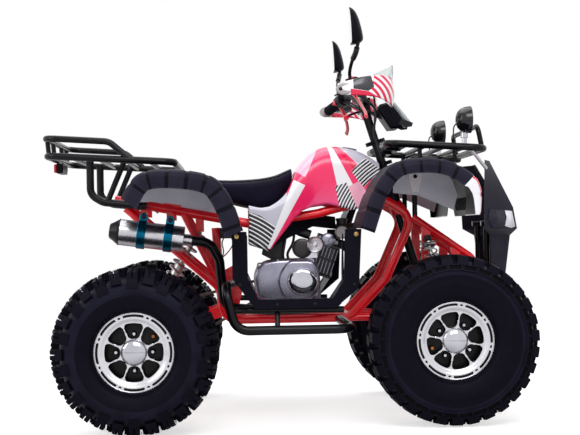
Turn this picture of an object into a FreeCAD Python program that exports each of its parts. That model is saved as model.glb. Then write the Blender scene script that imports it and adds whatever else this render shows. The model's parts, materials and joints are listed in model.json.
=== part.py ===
"""Youth sport-utility quad bike, built from its separate pieces, in millimetres.

The frame stands on the ground: +X is forward, +Y is left, +Z is up, and the origin lies on the ground
under the middle of the overall length. Each piece is written to parts/NAME.step.
"""
import FreeCAD, Part
import math
import os

from FreeCAD import Vector

os.makedirs("parts", exist_ok=True)

# Overall size and wheel places
OVERALL_LENGTH = 1495.0
WHEELBASE = 940.0
REAR_AXLE_X = -457.5
FRONT_AXLE_X = REAR_AXLE_X + WHEELBASE
FRONT_END_X = OVERALL_LENGTH / 2
REAR_END_X = -OVERALL_LENGTH / 2

# Tyres and rims
FRONT_TYRE_R = 254.0
FRONT_TYRE_WIDTH = 178.0
FRONT_TRACK = 756.0
REAR_TYRE_R = 245.0
REAR_TYRE_WIDTH = 245.0
REAR_TRACK = 855.0
TREAD_PITCHES = 24
TREAD_GROOVE = 14.0
TREAD_DROP = 2.0
FRONT_LUG_HEIGHT = 11.0
FRONT_LUG_LENGTH = 28.0
FRONT_LUG_EDGE = 0.64
REAR_LUG_HEIGHT = 20.0
REAR_LUG_LENGTH = 26.0
REAR_LUG_EDGE = 0.84
CROWN_MARGIN = 0.02
LUG_SINK = 6.0
LUG_TAPER = 3.0
RIM_R = 115.0
BEAD_R = 101.0
RIM_WALL = 5.0
FLANGE_EDGE = 8.0
FLANGE_SLOPE = 14.0
BEAD_FIT = 0.5
FRONT_RIM_WIDTH = 140.0
REAR_RIM_WIDTH = 185.0
SPOKES = 8
LUG_CIRCLE_R = 55.0
CAP_R = 37.0
DRUM_R = 63.0
FRONT_HUB_DEPTH = 55.0
REAR_HUB_DEPTH = 30.0
STUB_R = 12.0
AXLE_R = 14.0
RUNNING_GAP = 0.3

# Frame tubes
FRAME_Y = 125.0
FRAME_R = 14.0
NOSE_R = 12.0
CROSS_R = 12.0
LOWER_RAIL_Z = 308.0

# Steering
COLUMN_LEAN = 17.0
COLUMN_R = 14.0
COLUMN_TOP_X = 267.0
COLUMN_TOP_Z = 989.0
COLUMN_FOOT_Z = 352.0
KINGPIN_Y = 322.0
KINGPIN_HALF = 62.0
CASTER = 4.0
PIN_R = 6.0
PIN_FIT = 0.05
BALL_R = 14.0
PITMAN_REACH = 60.0
PITMAN_Y = 14.0
STEER_ARM_REACH = 62.0
STEER_ARM_RISE = 46.0
TIE_ROD_R = 6.0
TIE_EYE_HALF = 9.0
PITMAN_GAP = 0.3
PITMAN_PLATE = 6.0
TIE_EYE_R = 12.0
TIE_EYE_BORE = 7.5
TIE_PIN_R = 4.0

# Handlebar group
BAR_R = 11.0
GRIP_R = 17.0
GRIP_LENGTH = 120.0

# Racks and bars
RACK_R = 11.0
RACK_HALF = 285.0
SIDE_BAR_R = 14.0
SIDE_BAR_Y = 395.0

# Plastic walls
SKIN = 4.0


def vec(x, y, z):
    return Vector(x, y, z)


def unit(vector):
    result = Vector(vector)
    result.normalize()
    return result


def column_point(z):
    """Point on the steering axis at height z."""
    return vec(COLUMN_TOP_X + (COLUMN_TOP_Z - z) * math.tan(math.radians(COLUMN_LEAN)), 0, z)


COLUMN_UP = unit(column_point(COLUMN_TOP_Z) - column_point(COLUMN_FOOT_Z))


def bent_path(points, bend):
    """Straight runs through the points, joined by tangent arcs of radius bend or as large as fits."""
    edges = []
    start = points[0]
    for before, corner, after in zip(points, points[1:], points[2:]):
        back, ahead = unit(before - corner), unit(after - corner)
        half = back.getAngle(ahead) / 2
        reach = min(bend / math.tan(half), 0.45 * (before - corner).Length, 0.45 * (after - corner).Length)
        radius = reach * math.tan(half)
        middle = unit(back + ahead)
        centre = corner + middle * (radius / math.sin(half))
        first, last = corner + back * reach, corner + ahead * reach
        if (first - start).Length > 1e-6:
            edges.append(Part.LineSegment(start, first).toShape())
        edges.append(Part.Arc(first, centre - middle * radius, last).toShape())
        start = last
    edges.append(Part.LineSegment(start, points[-1]).toShape())
    return Part.Wire(edges)


def tube(points, radius, bend=40.0):
    """Round bar bent along the points."""
    path = bent_path(points, bend)
    ring = Part.Wire(Part.makeCircle(radius, points[0], points[1] - points[0]))
    return path.makePipeShell([ring], True, False)


def bar(start, end, radius):
    """Straight round bar between two points."""
    return Part.makeCylinder(radius, (end - start).Length, start, end - start)


def ring(start, end, outer, inner):
    """Sleeve between two points."""
    return bar(start, end, outer).cut(bar(start, end, inner))


def side_points(pairs, y):
    return [vec(x, y, z) for x, z in pairs]


def side_plate(pairs, y, thickness):
    """Flat plate with an outline in the XZ plane, from y to y + thickness."""
    outline = side_points(pairs, y)
    return Part.Face(Part.makePolygon(outline + outline[:1])).extrude(vec(0, thickness, 0))


def block(low, high):
    """Box between two corners."""
    return Part.makeBox(high[0] - low[0], high[1] - low[1], high[2] - low[2], vec(*low))


def fuse(shapes):
    return shapes[0].multiFuse(list(shapes[1:])).removeSplitter() if len(shapes) > 1 else shapes[0]


def coped(shape, *neighbours):
    """Largest solid that is left when the neighbours are cut away, so that it ends on their faces."""
    for neighbour in neighbours:
        shape = shape.cut(neighbour)
    return max(shape.Solids, key=lambda solid: solid.Volume)


def mirrored(shape):
    return shape.mirror(vec(0, 0, 0), vec(0, 1, 0))


def both(shape):
    """The right-hand shape and its left-hand twin."""
    return [shape, mirrored(shape)]


def rounded_section(x, half_width, low, high, corner):
    """Closed outline across the machine: flat base, upright sides and round shoulders."""
    r = min(corner, half_width - 1, (high - low) / 2 - 1)
    d = r * (1 - math.sqrt(0.5))
    y, z = half_width, high
    edges = [
        Part.LineSegment(vec(x, -y, low), vec(x, y, low)).toShape(),
        Part.LineSegment(vec(x, y, low), vec(x, y, z - r)).toShape(),
        Part.Arc(vec(x, y, z - r), vec(x, y - d, z - d), vec(x, y - r, z)).toShape(),
        Part.LineSegment(vec(x, y - r, z), vec(x, -y + r, z)).toShape(),
        Part.Arc(vec(x, -y + r, z), vec(x, -y + d, z - d), vec(x, -y, z - r)).toShape(),
        Part.LineSegment(vec(x, -y, z - r), vec(x, -y, low)).toShape(),
    ]
    return Part.Wire(edges)


def loft(sections):
    return Part.makeLoft(sections, True, True)


def save(name, shapes):
    """Write one piece, which may be several like solids that don't touch."""
    solids = [solid for shape in shapes for solid in shape.Solids]
    whole = solids[0] if len(solids) == 1 else Part.makeCompound(solids)
    whole.exportStep("parts/" + name + ".step")
    box = whole.BoundBox
    print(f"{name}: {len(solids)} solids, {whole.Volume / 1000:.0f} cm3, x {box.XMin:.0f} {box.XMax:.0f},"
          f" y {box.YMin:.0f} {box.YMax:.0f}, z {box.ZMin:.0f} {box.ZMax:.0f}, valid {whole.isValid()}")


def planar_solid(outlines):
    """Solid closed by flat faces, each given by its corners."""
    shell = Part.makeShell([Part.Face(Part.makePolygon(corners + corners[:1])) for corners in outlines])
    shell.sewShape()
    solid = Part.Solid(shell)
    return solid if solid.Volume > 0 else solid.reversed()


# Wheels: each is made at the origin with its axle along Y and its outer face towards +Y
def faceted_ring(profile, sides):
    """Closed ring about the Y axis with flat facets; profile is (y, radius) pairs."""
    outlines = []
    loop = profile + profile[:1]
    for i in range(sides):
        angles = [2 * math.pi * (i + k - 0.5) / sides for k in (0, 1)]
        for (y0, r0), (y1, r1) in zip(loop, loop[1:]):
            scale = 1 / math.cos(math.pi / sides)
            outlines.append([
                vec(r0 * scale * math.cos(angles[0]), y0, r0 * scale * math.sin(angles[0])),
                vec(r0 * scale * math.cos(angles[1]), y0, r0 * scale * math.sin(angles[1])),
                vec(r1 * scale * math.cos(angles[1]), y1, r1 * scale * math.sin(angles[1])),
                vec(r1 * scale * math.cos(angles[0]), y1, r1 * scale * math.sin(angles[0])),
            ])
    return planar_solid(outlines)


def lug(span, along, tip_r, height, length):
    """Tapered tread block across the top of the tyre: span is its two Y edges, along its middle's X."""
    far = abs(along) + length / 2
    top = math.sqrt(tip_r ** 2 - far ** 2)
    rings = []
    for level, inset in ((top - height - LUG_SINK, 0.0), (top, LUG_TAPER)):
        x0, x1 = along - length / 2 + inset, along + length / 2 - inset
        y0, y1 = span[0] + inset, span[1] - inset
        rings.append([vec(x0, y0, level), vec(x1, y0, level), vec(x1, y1, level), vec(x0, y1, level)])
    foot, tip = rings
    walls = [[foot[i - 1], foot[i], tip[i], tip[i - 1]] for i in range(len(foot))]
    return planar_solid(rings + walls)


def tyre(radius, width, rim_width, lug_height, lug_length, edge_share):
    """Faceted carcass seated between the rim flanges, with two staggered rows of tread blocks."""
    half = width / 2
    seat = rim_width / 2 - FLANGE_SLOPE - BEAD_FIT
    lip = rim_width / 2 - FLANGE_EDGE - BEAD_FIT
    crown = radius - lug_height - TREAD_DROP
    shoulder = crown + TREAD_DROP - 0.09 * width
    belly = (BEAD_R + shoulder) / 2 + 14
    crown_half = half * (edge_share + CROWN_MARGIN)
    profile = [
        (-seat, BEAD_R), (-lip, RIM_R + BEAD_FIT), (-half * 0.93, BEAD_R + 30), (-half, belly),
        (-half * 0.93, shoulder - 12), (-crown_half, crown), (crown_half, crown), (half * 0.93, shoulder - 12),
        (half, belly), (half * 0.93, BEAD_R + 30), (lip, RIM_R + BEAD_FIT), (seat, BEAD_R),
    ]
    carcass = faceted_ring(profile, TREAD_PITCHES)
    blocks = []
    for side in (-1, 1):
        span = sorted((side * TREAD_GROOVE / 2, side * half * edge_share))
        for i in range(TREAD_PITCHES):
            piece = lug(span, side * (lug_length / 2 + 2), radius, lug_height, lug_length)
            piece.rotate(vec(0, 0, 0), vec(0, 1, 0), 90 + 360.0 * i / TREAD_PITCHES)
            blocks.append(piece)
    return carcass.multiFuse(blocks)


def rim(width, hub_depth, bore_r):
    """Eight-spoke cast rim with a ring of windows, its bead flanges, hub and brake drum with a blind bore."""
    half = width / 2
    seat_r = BEAD_R - BEAD_FIT
    outside = [(-half, RIM_R), (-half + FLANGE_EDGE, RIM_R), (-half + FLANGE_SLOPE, seat_r), (-half + 34, seat_r),
               (-half + 46, BEAD_R - 16), (half - 46, BEAD_R - 16), (half - 34, seat_r),
               (half - FLANGE_SLOPE, seat_r), (half - FLANGE_EDGE, RIM_R), (half, RIM_R)]
    inside = [(y, r - RIM_WALL - (9 if abs(y) >= half - FLANGE_EDGE else 0)) for y, r in reversed(outside)]
    outline = [vec(r, y, 0) for y, r in outside + inside]
    barrel = Part.Face(Part.makePolygon(outline + outline[:1])).revolve(vec(0, 0, 0), vec(0, 1, 0), 360)
    face_y = half - 24
    face = Part.makeCylinder(BEAD_R - 5, 9, vec(0, face_y, 0), vec(0, 1, 0))
    for i in range(SPOKES):
        centre = math.radians(360.0 * (i + 0.5) / SPOKES)
        inner, outer = CAP_R + 6, BEAD_R - 19
        corners = []
        for radius, spread in ((inner, 16.5), (outer, 19.0)):
            corners.append([vec(radius * math.cos(centre + s * math.radians(spread)), face_y - 1,
                                radius * math.sin(centre + s * math.radians(spread))) for s in (-1, 1)])
        (a, b), (c, d) = corners
        window = Part.Face(Part.makePolygon([a, c, d, b, a])).extrude(vec(0, 12, 0))
        face = face.cut(window)
    hub = Part.makeCylinder(LUG_CIRCLE_R + 12, 8, vec(0, face_y - 22, 0), vec(0, 1, 0))
    boss = Part.makeCylinder(CAP_R - 2, 40, vec(0, face_y - 22, 0), vec(0, 1, 0))
    drum = Part.makeCylinder(DRUM_R, hub_depth, vec(0, face_y - 22 - hub_depth, 0), vec(0, 1, 0))
    bore = Part.makeCylinder(bore_r, hub_depth + 10, vec(0, face_y - 22 - hub_depth, 0), vec(0, 1, 0))
    return fuse([barrel, face, hub, boss, drum]).cut(bore)


def place_wheel(shape, x, y, z, side):
    """Copy of an outward-facing wheel piece on the given side, -1 right or 1 left."""
    piece = shape.copy() if side > 0 else shape.mirror(vec(0, 0, 0), vec(0, 1, 0))
    piece.translate(vec(x, side * y, z))
    return piece


def wheels():
    front_tyre = tyre(FRONT_TYRE_R, FRONT_TYRE_WIDTH, FRONT_RIM_WIDTH, FRONT_LUG_HEIGHT, FRONT_LUG_LENGTH,
                      FRONT_LUG_EDGE)
    rear_tyre = tyre(REAR_TYRE_R, REAR_TYRE_WIDTH, REAR_RIM_WIDTH, REAR_LUG_HEIGHT, REAR_LUG_LENGTH, REAR_LUG_EDGE)
    front_rim = rim(FRONT_RIM_WIDTH, FRONT_HUB_DEPTH, STUB_R + RUNNING_GAP)
    rear_rim = rim(REAR_RIM_WIDTH, REAR_HUB_DEPTH, AXLE_R)
    for name, side in (("right", -1), ("left", 1)):
        save("tyre_front_" + name, [place_wheel(front_tyre, FRONT_AXLE_X, FRONT_TRACK / 2, FRONT_TYRE_R, side)])
        save("rim_front_" + name, [place_wheel(front_rim, FRONT_AXLE_X, FRONT_TRACK / 2, FRONT_TYRE_R, side)])
    save("tyres_rear", [place_wheel(rear_tyre, REAR_AXLE_X, REAR_TRACK / 2, REAR_TYRE_R, s) for s in (-1, 1)])
    save("rims_rear", [place_wheel(rear_rim, REAR_AXLE_X, REAR_TRACK / 2, REAR_TYRE_R, s) for s in (-1, 1)])


# Frame
BEARING_LENGTH = 40.0
BEARING_WALL = 9.0
BEARING_BAR_R = 11.0
SWING_BOLT_R = 8.0
SHOCK_BAR_Z = 642.0
SHOCK_EAR = 6.0
UPPER_BEARING_Z = 655.0
LOWER_BEARING_Z = 400.0
TOWERS_X = (446.0, 540.0)
LOWER_PIVOT = (446.0, 556.0, 300.0)
UPPER_PIVOT = (420.0, 556.0, 392.0)
PIVOT_Y = 172.0
ARM_BUSH_R = 11.0
SWING_PIVOT = (-185.0, 345.0)
SIDE_LOOP = [(-482, 646), (-212, 410), (-203, LOWER_RAIL_Z), (200, LOWER_RAIL_Z), (314, 424), (405, 628),
             (300, 690), (100, 640), (-110, 611), (-540, 694)]
FRONT_RAIL_Z = 282.0
NOSE_LOOP = [(404, 624), (588, 494), (632, 420), (632, FRONT_RAIL_Z), (345, FRONT_RAIL_Z), (290, LOWER_RAIL_Z),
             (190, LOWER_RAIL_Z)]


REAR_SHOCK_TOP = (-277.0, 600.0)
REAR_SHOCK_FOOT = (-417.0, 352.0)
FRONT_SHOCK_TOP = (446.0, -158.0, 555.0)
FRONT_SHOCK_FOOT = (496.0, -262.0, 254.0)
REAR_EYE_HALF = 16.0
SHOCK_EYE_HALF = 10.0


BODY_STATIONS = [(-118, 190, 500, 668, 10), (-60, 190, 500, 660, 10), (0, 185, 500, 700, 30), (40, 175, 500, 790, 60),
                 (95, 160, 500, 840, 60), (150, 160, 500, 853, 60), (230, 165, 500, 838, 60), (300, 150, 500, 800, 40)]


def cover_half(x):
    """Half width of the body cover at x."""
    for (x0, h0, *_), (x1, h1, *_) in zip(BODY_STATIONS, BODY_STATIONS[1:]):
        if x0 <= x <= x1:
            return h0 + (h1 - h0) * (x - x0) / (x1 - x0)


MUFFLER_TAIL = (-516.0, -240.0, 592.0)
MUFFLER_NECK = (-321.0, -240.0, 565.0)
CLAMP_SHARES = (0.34, 0.76)
TAB_TOP = 68.0
MUFFLER_LUGS = [(MUFFLER_TAIL[0] + (MUFFLER_NECK[0] - MUFFLER_TAIL[0]) * share,
                 MUFFLER_TAIL[2] + (MUFFLER_NECK[2] - MUFFLER_TAIL[2]) * share + TAB_TOP) for share in CLAMP_SHARES]


CROSS_BARS = [(-120, LOWER_RAIL_Z), (60, LOWER_RAIL_Z), (200, LOWER_RAIL_Z), (632, FRONT_RAIL_Z), (300, 688),
              (-110, 611), (-500, 676), (632, 420)]


def cross_bar(x, z, radius=CROSS_R, half=FRAME_Y):
    return bar(vec(x, -half, z), vec(x, half, z), radius)


def side_frame():
    """Right-hand side of the frame, welded up in one plane, with its pivot lugs and shock peg."""
    side = [tube(side_points(SIDE_LOOP, -FRAME_Y), FRAME_R, 55), tube(side_points(NOSE_LOOP, -FRAME_Y), NOSE_R, 40)]
    side.append(bar(vec(-440, -FRAME_Y, 609.3), vec(-506, -FRAME_Y, 667), FRAME_R - 1))
    for x, top in zip(TOWERS_X, (600.0, 530.0)):
        side.append(block((x - 14, -FRAME_Y - 9, FRONT_RAIL_Z - 8), (x + 14, -FRAME_Y + 9, top)))
    for rear_x, front_x, z in (LOWER_PIVOT, UPPER_PIVOT):
        for pivot_x, tower_x in ((rear_x, TOWERS_X[0]), (front_x, TOWERS_X[1])):
            low_x, high_x = min(pivot_x - 8, tower_x - 8), max(pivot_x + 8, tower_x + 8)
            side.append(block((low_x, -FRAME_Y - 9, z - 12), (high_x, -FRAME_Y + 9, z + 12)))
            side.append(block((pivot_x - 8, -PIVOT_Y + ARM_BUSH_R + RUNNING_GAP, z - 12),
                              (pivot_x + 8, -FRAME_Y, z + 12)))
    side.append(bar(vec(TOWERS_X[0], -FRAME_Y - 5, FRONT_SHOCK_TOP[2]),
                    vec(TOWERS_X[0], FRONT_SHOCK_TOP[1] + SHOCK_EYE_HALF, FRONT_SHOCK_TOP[2]), 10))
    side.append(bar(vec(-225, -FRAME_Y, 600), vec(-214, -FRAME_Y, 425), 12))
    side.append(bar(vec(-325, -FRAME_Y, 650), vec(-200, -FRAME_Y, 395), 12))
    side.append(side_plate([(-207, 320), (-160, 320), (-140, 410), (-140, 450), (-160, 480), (-207, 455)],
                           -FRAME_Y - 4, 8))
    side.append(side_plate([(-385, 655), (-330, 645), (-330, 668), (-346, 690), (-385, 697)], -FRAME_Y - 4, 8))
    for x, z in ((200, 665), (-60, 618)):
        side.append(bar(vec(x, -FRAME_Y, z), vec(x, -cover_half(x) + SKIN + 2 * RUNNING_GAP, z), 8))
    for x, z in MUFFLER_LUGS:
        side.append(block((x - 10, -FRAME_Y - 10, z - 12), (x + 10, -FRAME_Y + 8, z + 24)))
    swing_bolt = bar(vec(SWING_PIVOT[0], -FRAME_Y - 10, SWING_PIVOT[1]), vec(SWING_PIVOT[0], 0, SWING_PIVOT[1]),
                     SWING_BOLT_R)
    return fuse(side).cut(swing_bolt)


def cross_members(side_frames):
    """Bars that join the two sides, with the rear shock's ears and the column's two bearings."""
    members = [cross_bar(x, z) for x, z in CROSS_BARS]
    ear = block((REAR_SHOCK_TOP[0] - 13, -REAR_EYE_HALF - SHOCK_EAR, REAR_SHOCK_TOP[1] - 12),
                (REAR_SHOCK_TOP[0] + 13, -REAR_EYE_HALF - RUNNING_GAP, SHOCK_BAR_Z - 2))
    members.append(fuse([cross_bar(REAR_SHOCK_TOP[0], SHOCK_BAR_Z)] + both(ear)))
    for z in (UPPER_BEARING_Z, LOWER_BEARING_Z):
        middle = column_point(z)
        reach = COLUMN_UP * (BEARING_LENGTH / 2)
        sleeve = bar(middle - reach, middle + reach, COLUMN_R + BEARING_WALL)
        bore = bar(middle - reach * 2, middle + reach * 2, COLUMN_R + RUNNING_GAP)
        members.append(fuse([cross_bar(middle.x, z, BEARING_BAR_R), sleeve]).cut(bore))
    return [coped(member, *side_frames) for member in members]


CARRIER_R = 38.0
SWING_Y = 80.0


def swingarm():
    """Two box arms from the pivot tube back to the round axle carrier."""
    pivot_x, pivot_z = SWING_PIVOT
    foot_x, foot_z = REAR_SHOCK_FOOT
    arm = side_plate([(pivot_x + 8, pivot_z - 17), (pivot_x + 8, pivot_z + 17), (REAR_AXLE_X + 10, REAR_TYRE_R + 32),
                      (REAR_AXLE_X - 10, REAR_TYRE_R - 24)], -SWING_Y - 13, 26)
    ear = block((foot_x - 14, -REAR_EYE_HALF - 6, REAR_TYRE_R + 20), (foot_x + 14, -REAR_EYE_HALF - RUNNING_GAP,
                                                                      foot_z + 13))
    pieces = both(arm) + both(ear) + [
        bar(vec(pivot_x, -FRAME_Y + 16, pivot_z), vec(pivot_x, FRAME_Y - 16, pivot_z), 20),
        bar(vec(REAR_AXLE_X, -SWING_Y - 15, REAR_TYRE_R), vec(REAR_AXLE_X, SWING_Y + 15, REAR_TYRE_R), CARRIER_R),
        block((REAR_AXLE_X + 10, -30, REAR_TYRE_R + 14), (REAR_AXLE_X + 70, 30, REAR_TYRE_R + 40)),
        bar(vec(REAR_AXLE_X + 90, -SWING_Y, REAR_TYRE_R + 30), vec(REAR_AXLE_X + 90, SWING_Y, REAR_TYRE_R + 30), 12),
    ]
    arm = pieces[0]
    for piece in pieces[1:]:
        arm = arm.fuse(piece)
    bolt = bar(vec(pivot_x, -FRAME_Y - 18, pivot_z), vec(pivot_x, FRAME_Y + 18, pivot_z), 8)
    arm = arm.fuse(bolt)
    return arm.cut(bar(vec(REAR_AXLE_X, -200, REAR_TYRE_R), vec(REAR_AXLE_X, 200, REAR_TYRE_R),
                       AXLE_R + RUNNING_GAP))


def spring_damper(low, high, spring_r, turns, eye_half):
    """Damper with its spring drawn as a stack of rings, an eye at each end."""
    length = (high - low).Length
    wire = spring_r * 0.32
    start, end = 30.0, length - 30.0
    pitch = (end - start) / turns
    neck = eye_half - 2
    outline = [(0, 8), (neck, 8), (neck, start - 8), (spring_r, start - 8), (spring_r, start)]
    for i in range(turns):
        base = start + i * pitch
        outline += [(spring_r - wire, base + 0.15 * pitch), (spring_r, base + 0.5 * pitch),
                    (spring_r - wire, base + 0.85 * pitch)]
    outline += [(spring_r, end), (spring_r, end + 8), (neck, end + 8), (neck, length - 8), (0, length - 8)]
    points = [vec(r, 0, z) for r, z in outline]
    damper = Part.Face(Part.makePolygon(points + points[:1])).revolve(vec(0, 0, 0), vec(0, 0, 1), 360)
    damper.Placement = FreeCAD.Placement(low, FreeCAD.Rotation(vec(0, 0, 1), high - low))
    eyes = [bar(end_point - vec(0, eye_half, 0), end_point + vec(0, eye_half, 0), 12) for end_point in (low, high)]
    return fuse([damper] + eyes)


def rear_shock():
    low = vec(REAR_SHOCK_FOOT[0], 0, REAR_SHOCK_FOOT[1])
    high = vec(REAR_SHOCK_TOP[0], 0, REAR_SHOCK_TOP[1])
    return spring_damper(low, high, 30, 7, REAR_EYE_HALF)


def kingpin_local(shape):
    """Move a piece made about the right kingpin's own upright axis to its leaning place."""
    piece = shape.copy()
    piece.rotate(vec(0, 0, 0), vec(0, 1, 0), -CASTER)
    piece.translate(vec(FRONT_AXLE_X, -KINGPIN_Y, FRONT_TYRE_R))
    return piece


BALL_HALF = 11.0
ARM_R = 7.0
EAR = 6.0


def ball_place(offset):
    """Ball joint centre on the right kingpin, offset along it from the hub."""
    lean = math.radians(CASTER)
    return vec(FRONT_AXLE_X - offset * math.sin(lean), -KINGPIN_Y, FRONT_TYRE_R + offset * math.cos(lean))


def front_arm(offset, pivots):
    """One wishbone: two legs from the tower pivots out to the ball joint housing."""
    inner = ball_place(offset) + vec(0, BALL_R - 2, 0)
    parts = [kingpin_local(Part.makeCylinder(BALL_R, 2 * BALL_HALF, vec(0, 0, offset - BALL_HALF)))]
    for x in pivots[:2]:
        pivot = vec(x, -PIVOT_Y, pivots[2])
        parts.append(bar(pivot, inner, ARM_R))
        parts.append(bar(pivot - vec(13, 0, 0), pivot + vec(13, 0, 0), ARM_BUSH_R))
    if offset < 0:
        foot = vec(*FRONT_SHOCK_FOOT)
        reach = SHOCK_EYE_HALF + RUNNING_GAP + EAR
        parts.append(block((foot.x - 34, foot.y - reach, foot.z - 26), (foot.x + 18, foot.y + reach, foot.z - 14)))
        for side in (-1, 1):
            face = foot.y + side * (SHOCK_EYE_HALF + RUNNING_GAP)
            parts.append(block((foot.x - 12, min(face, face + side * EAR), foot.z - 22),
                               (foot.x + 12, max(face, face + side * EAR), foot.z + 5)))
    arm = parts[0]
    for part in parts[1:]:
        arm = arm.fuse(part)
    return arm.cut(kingpin_local(Part.makeCylinder(PIN_R + PIN_FIT, 60, vec(0, 0, offset - 30))))


def front_suspension():
    arms = []
    for offset, pivots in ((KINGPIN_HALF, UPPER_PIVOT), (-KINGPIN_HALF, LOWER_PIVOT)):
        arms += both(front_arm(offset, pivots))
    save("front_arms", arms)
    low, high = vec(*FRONT_SHOCK_FOOT), vec(*FRONT_SHOCK_TOP)
    shock = spring_damper(low, high, 24, 7, SHOCK_EYE_HALF)
    save("front_shocks", both(shock))


def knuckle():
    """Right upright with its pins, stub axle and rearward steering arm."""
    gap = KINGPIN_HALF - BALL_HALF - RUNNING_GAP
    upright = kingpin_local(Part.makeCylinder(13, 2 * gap, vec(0, 0, -gap)))
    pins = kingpin_local(Part.makeCylinder(PIN_R, 2 * (KINGPIN_HALF + BALL_HALF), vec(0, 0, -KINGPIN_HALF - BALL_HALF)))
    stub_end = FRONT_TRACK / 2 + FRONT_RIM_WIDTH / 2 - 24 - 22 + 8
    stub = bar(vec(FRONT_AXLE_X, -KINGPIN_Y, FRONT_TYRE_R), vec(FRONT_AXLE_X, -stub_end, FRONT_TYRE_R), STUB_R)
    backing = bar(vec(FRONT_AXLE_X, -KINGPIN_Y - 14, FRONT_TYRE_R), vec(FRONT_AXLE_X, -KINGPIN_Y - 20, FRONT_TYRE_R),
                  DRUM_R - 3)
    eye = vec(FRONT_AXLE_X - STEER_ARM_REACH, -KINGPIN_Y, FRONT_TYRE_R + STEER_ARM_RISE)
    drop = vec(0, 0, -16)
    arm = bar(eye + drop, vec(FRONT_AXLE_X, -KINGPIN_Y, FRONT_TYRE_R + 20), 8)
    pin = bar(eye + drop * 1.4, eye + vec(0, 0, 14), TIE_PIN_R)
    foot = bar(eye + drop * 1.5, eye + drop * 0.6, 9)
    return fuse([upright, pins, stub, backing, arm, pin, foot])


def tie_rod():
    """Right tie rod from the pitman plate out to the steering arm."""
    back = vec(-math.cos(math.radians(COLUMN_LEAN)), 0, -math.sin(math.radians(COLUMN_LEAN)))
    inner = column_point(COLUMN_FOOT_Z) + back * PITMAN_REACH + vec(0, -PITMAN_Y, 0)
    outer = vec(FRONT_AXLE_X - STEER_ARM_REACH, -KINGPIN_Y, FRONT_TYRE_R + STEER_ARM_RISE)
    rod = bar(inner + unit(outer - inner) * 6, outer - unit(outer - inner) * 8, TIE_ROD_R)
    inner_eye = bar(inner - COLUMN_UP * TIE_EYE_HALF, inner + COLUMN_UP * TIE_EYE_HALF, TIE_EYE_R - 2)
    outer_eye = bar(outer - vec(0, 0, 6), outer + vec(0, 0, 6), TIE_EYE_R)
    rod = fuse([rod, inner_eye, outer_eye])
    rod = rod.cut(bar(outer - vec(0, 0, 30), outer + vec(0, 0, 30), TIE_EYE_BORE))
    return rod.cut(bar(inner - COLUMN_UP * 30, inner + COLUMN_UP * 30, PIN_R - 2 + PIN_FIT)), inner


def steering_column():
    """Column tube from the bar clamps down to the pitman plate and its two pins."""
    top = column_point(COLUMN_TOP_Z - 12)
    drop = COLUMN_UP * -(TIE_EYE_HALF + PITMAN_GAP + PITMAN_PLATE)
    foot = column_point(COLUMN_FOOT_Z) + drop
    shaft = bar(foot, top, COLUMN_R)
    inner = tie_rod()[1]
    tip = vec(inner.x, 0, inner.z) + drop
    plate = [foot + vec(0, -30, 0), foot + vec(0, 30, 0), tip + vec(0, 22, 0), tip + vec(0, -22, 0)]
    pitman = Part.Face(Part.makePolygon(plate + plate[:1])).extrude(COLUMN_UP * PITMAN_PLATE)
    pins = [bar(vec(inner.x, s * PITMAN_Y, inner.z) + drop, vec(inner.x, s * PITMAN_Y, inner.z)
                + COLUMN_UP * TIE_EYE_HALF, PIN_R - 2) for s in (-1, 1)]
    collar = bar(column_point(UPPER_BEARING_Z) + COLUMN_UP * 20.3, column_point(UPPER_BEARING_Z) + COLUMN_UP * 60,
                 COLUMN_R + 6)
    return fuse([shaft, pitman, collar] + pins)


BAR_PATH = [(0, 266, 1001), (-60, 266, 1001), (-150, 236, 1046), (-360, 176, 1010)]


def bar_points(side):
    return [vec(x, side * -y, z) for y, x, z in BAR_PATH]


def handlebar():
    half = tube(bar_points(-1), BAR_R, 50)
    clamps = [block((252, y - 12, 975), (284, y + 12, 1016)) for y in (-30, 30)]
    plate = block((250, -46, 966), (286, 46, 976))
    shape = fuse([half, mirrored(half)] + clamps + [plate])
    return shape


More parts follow.
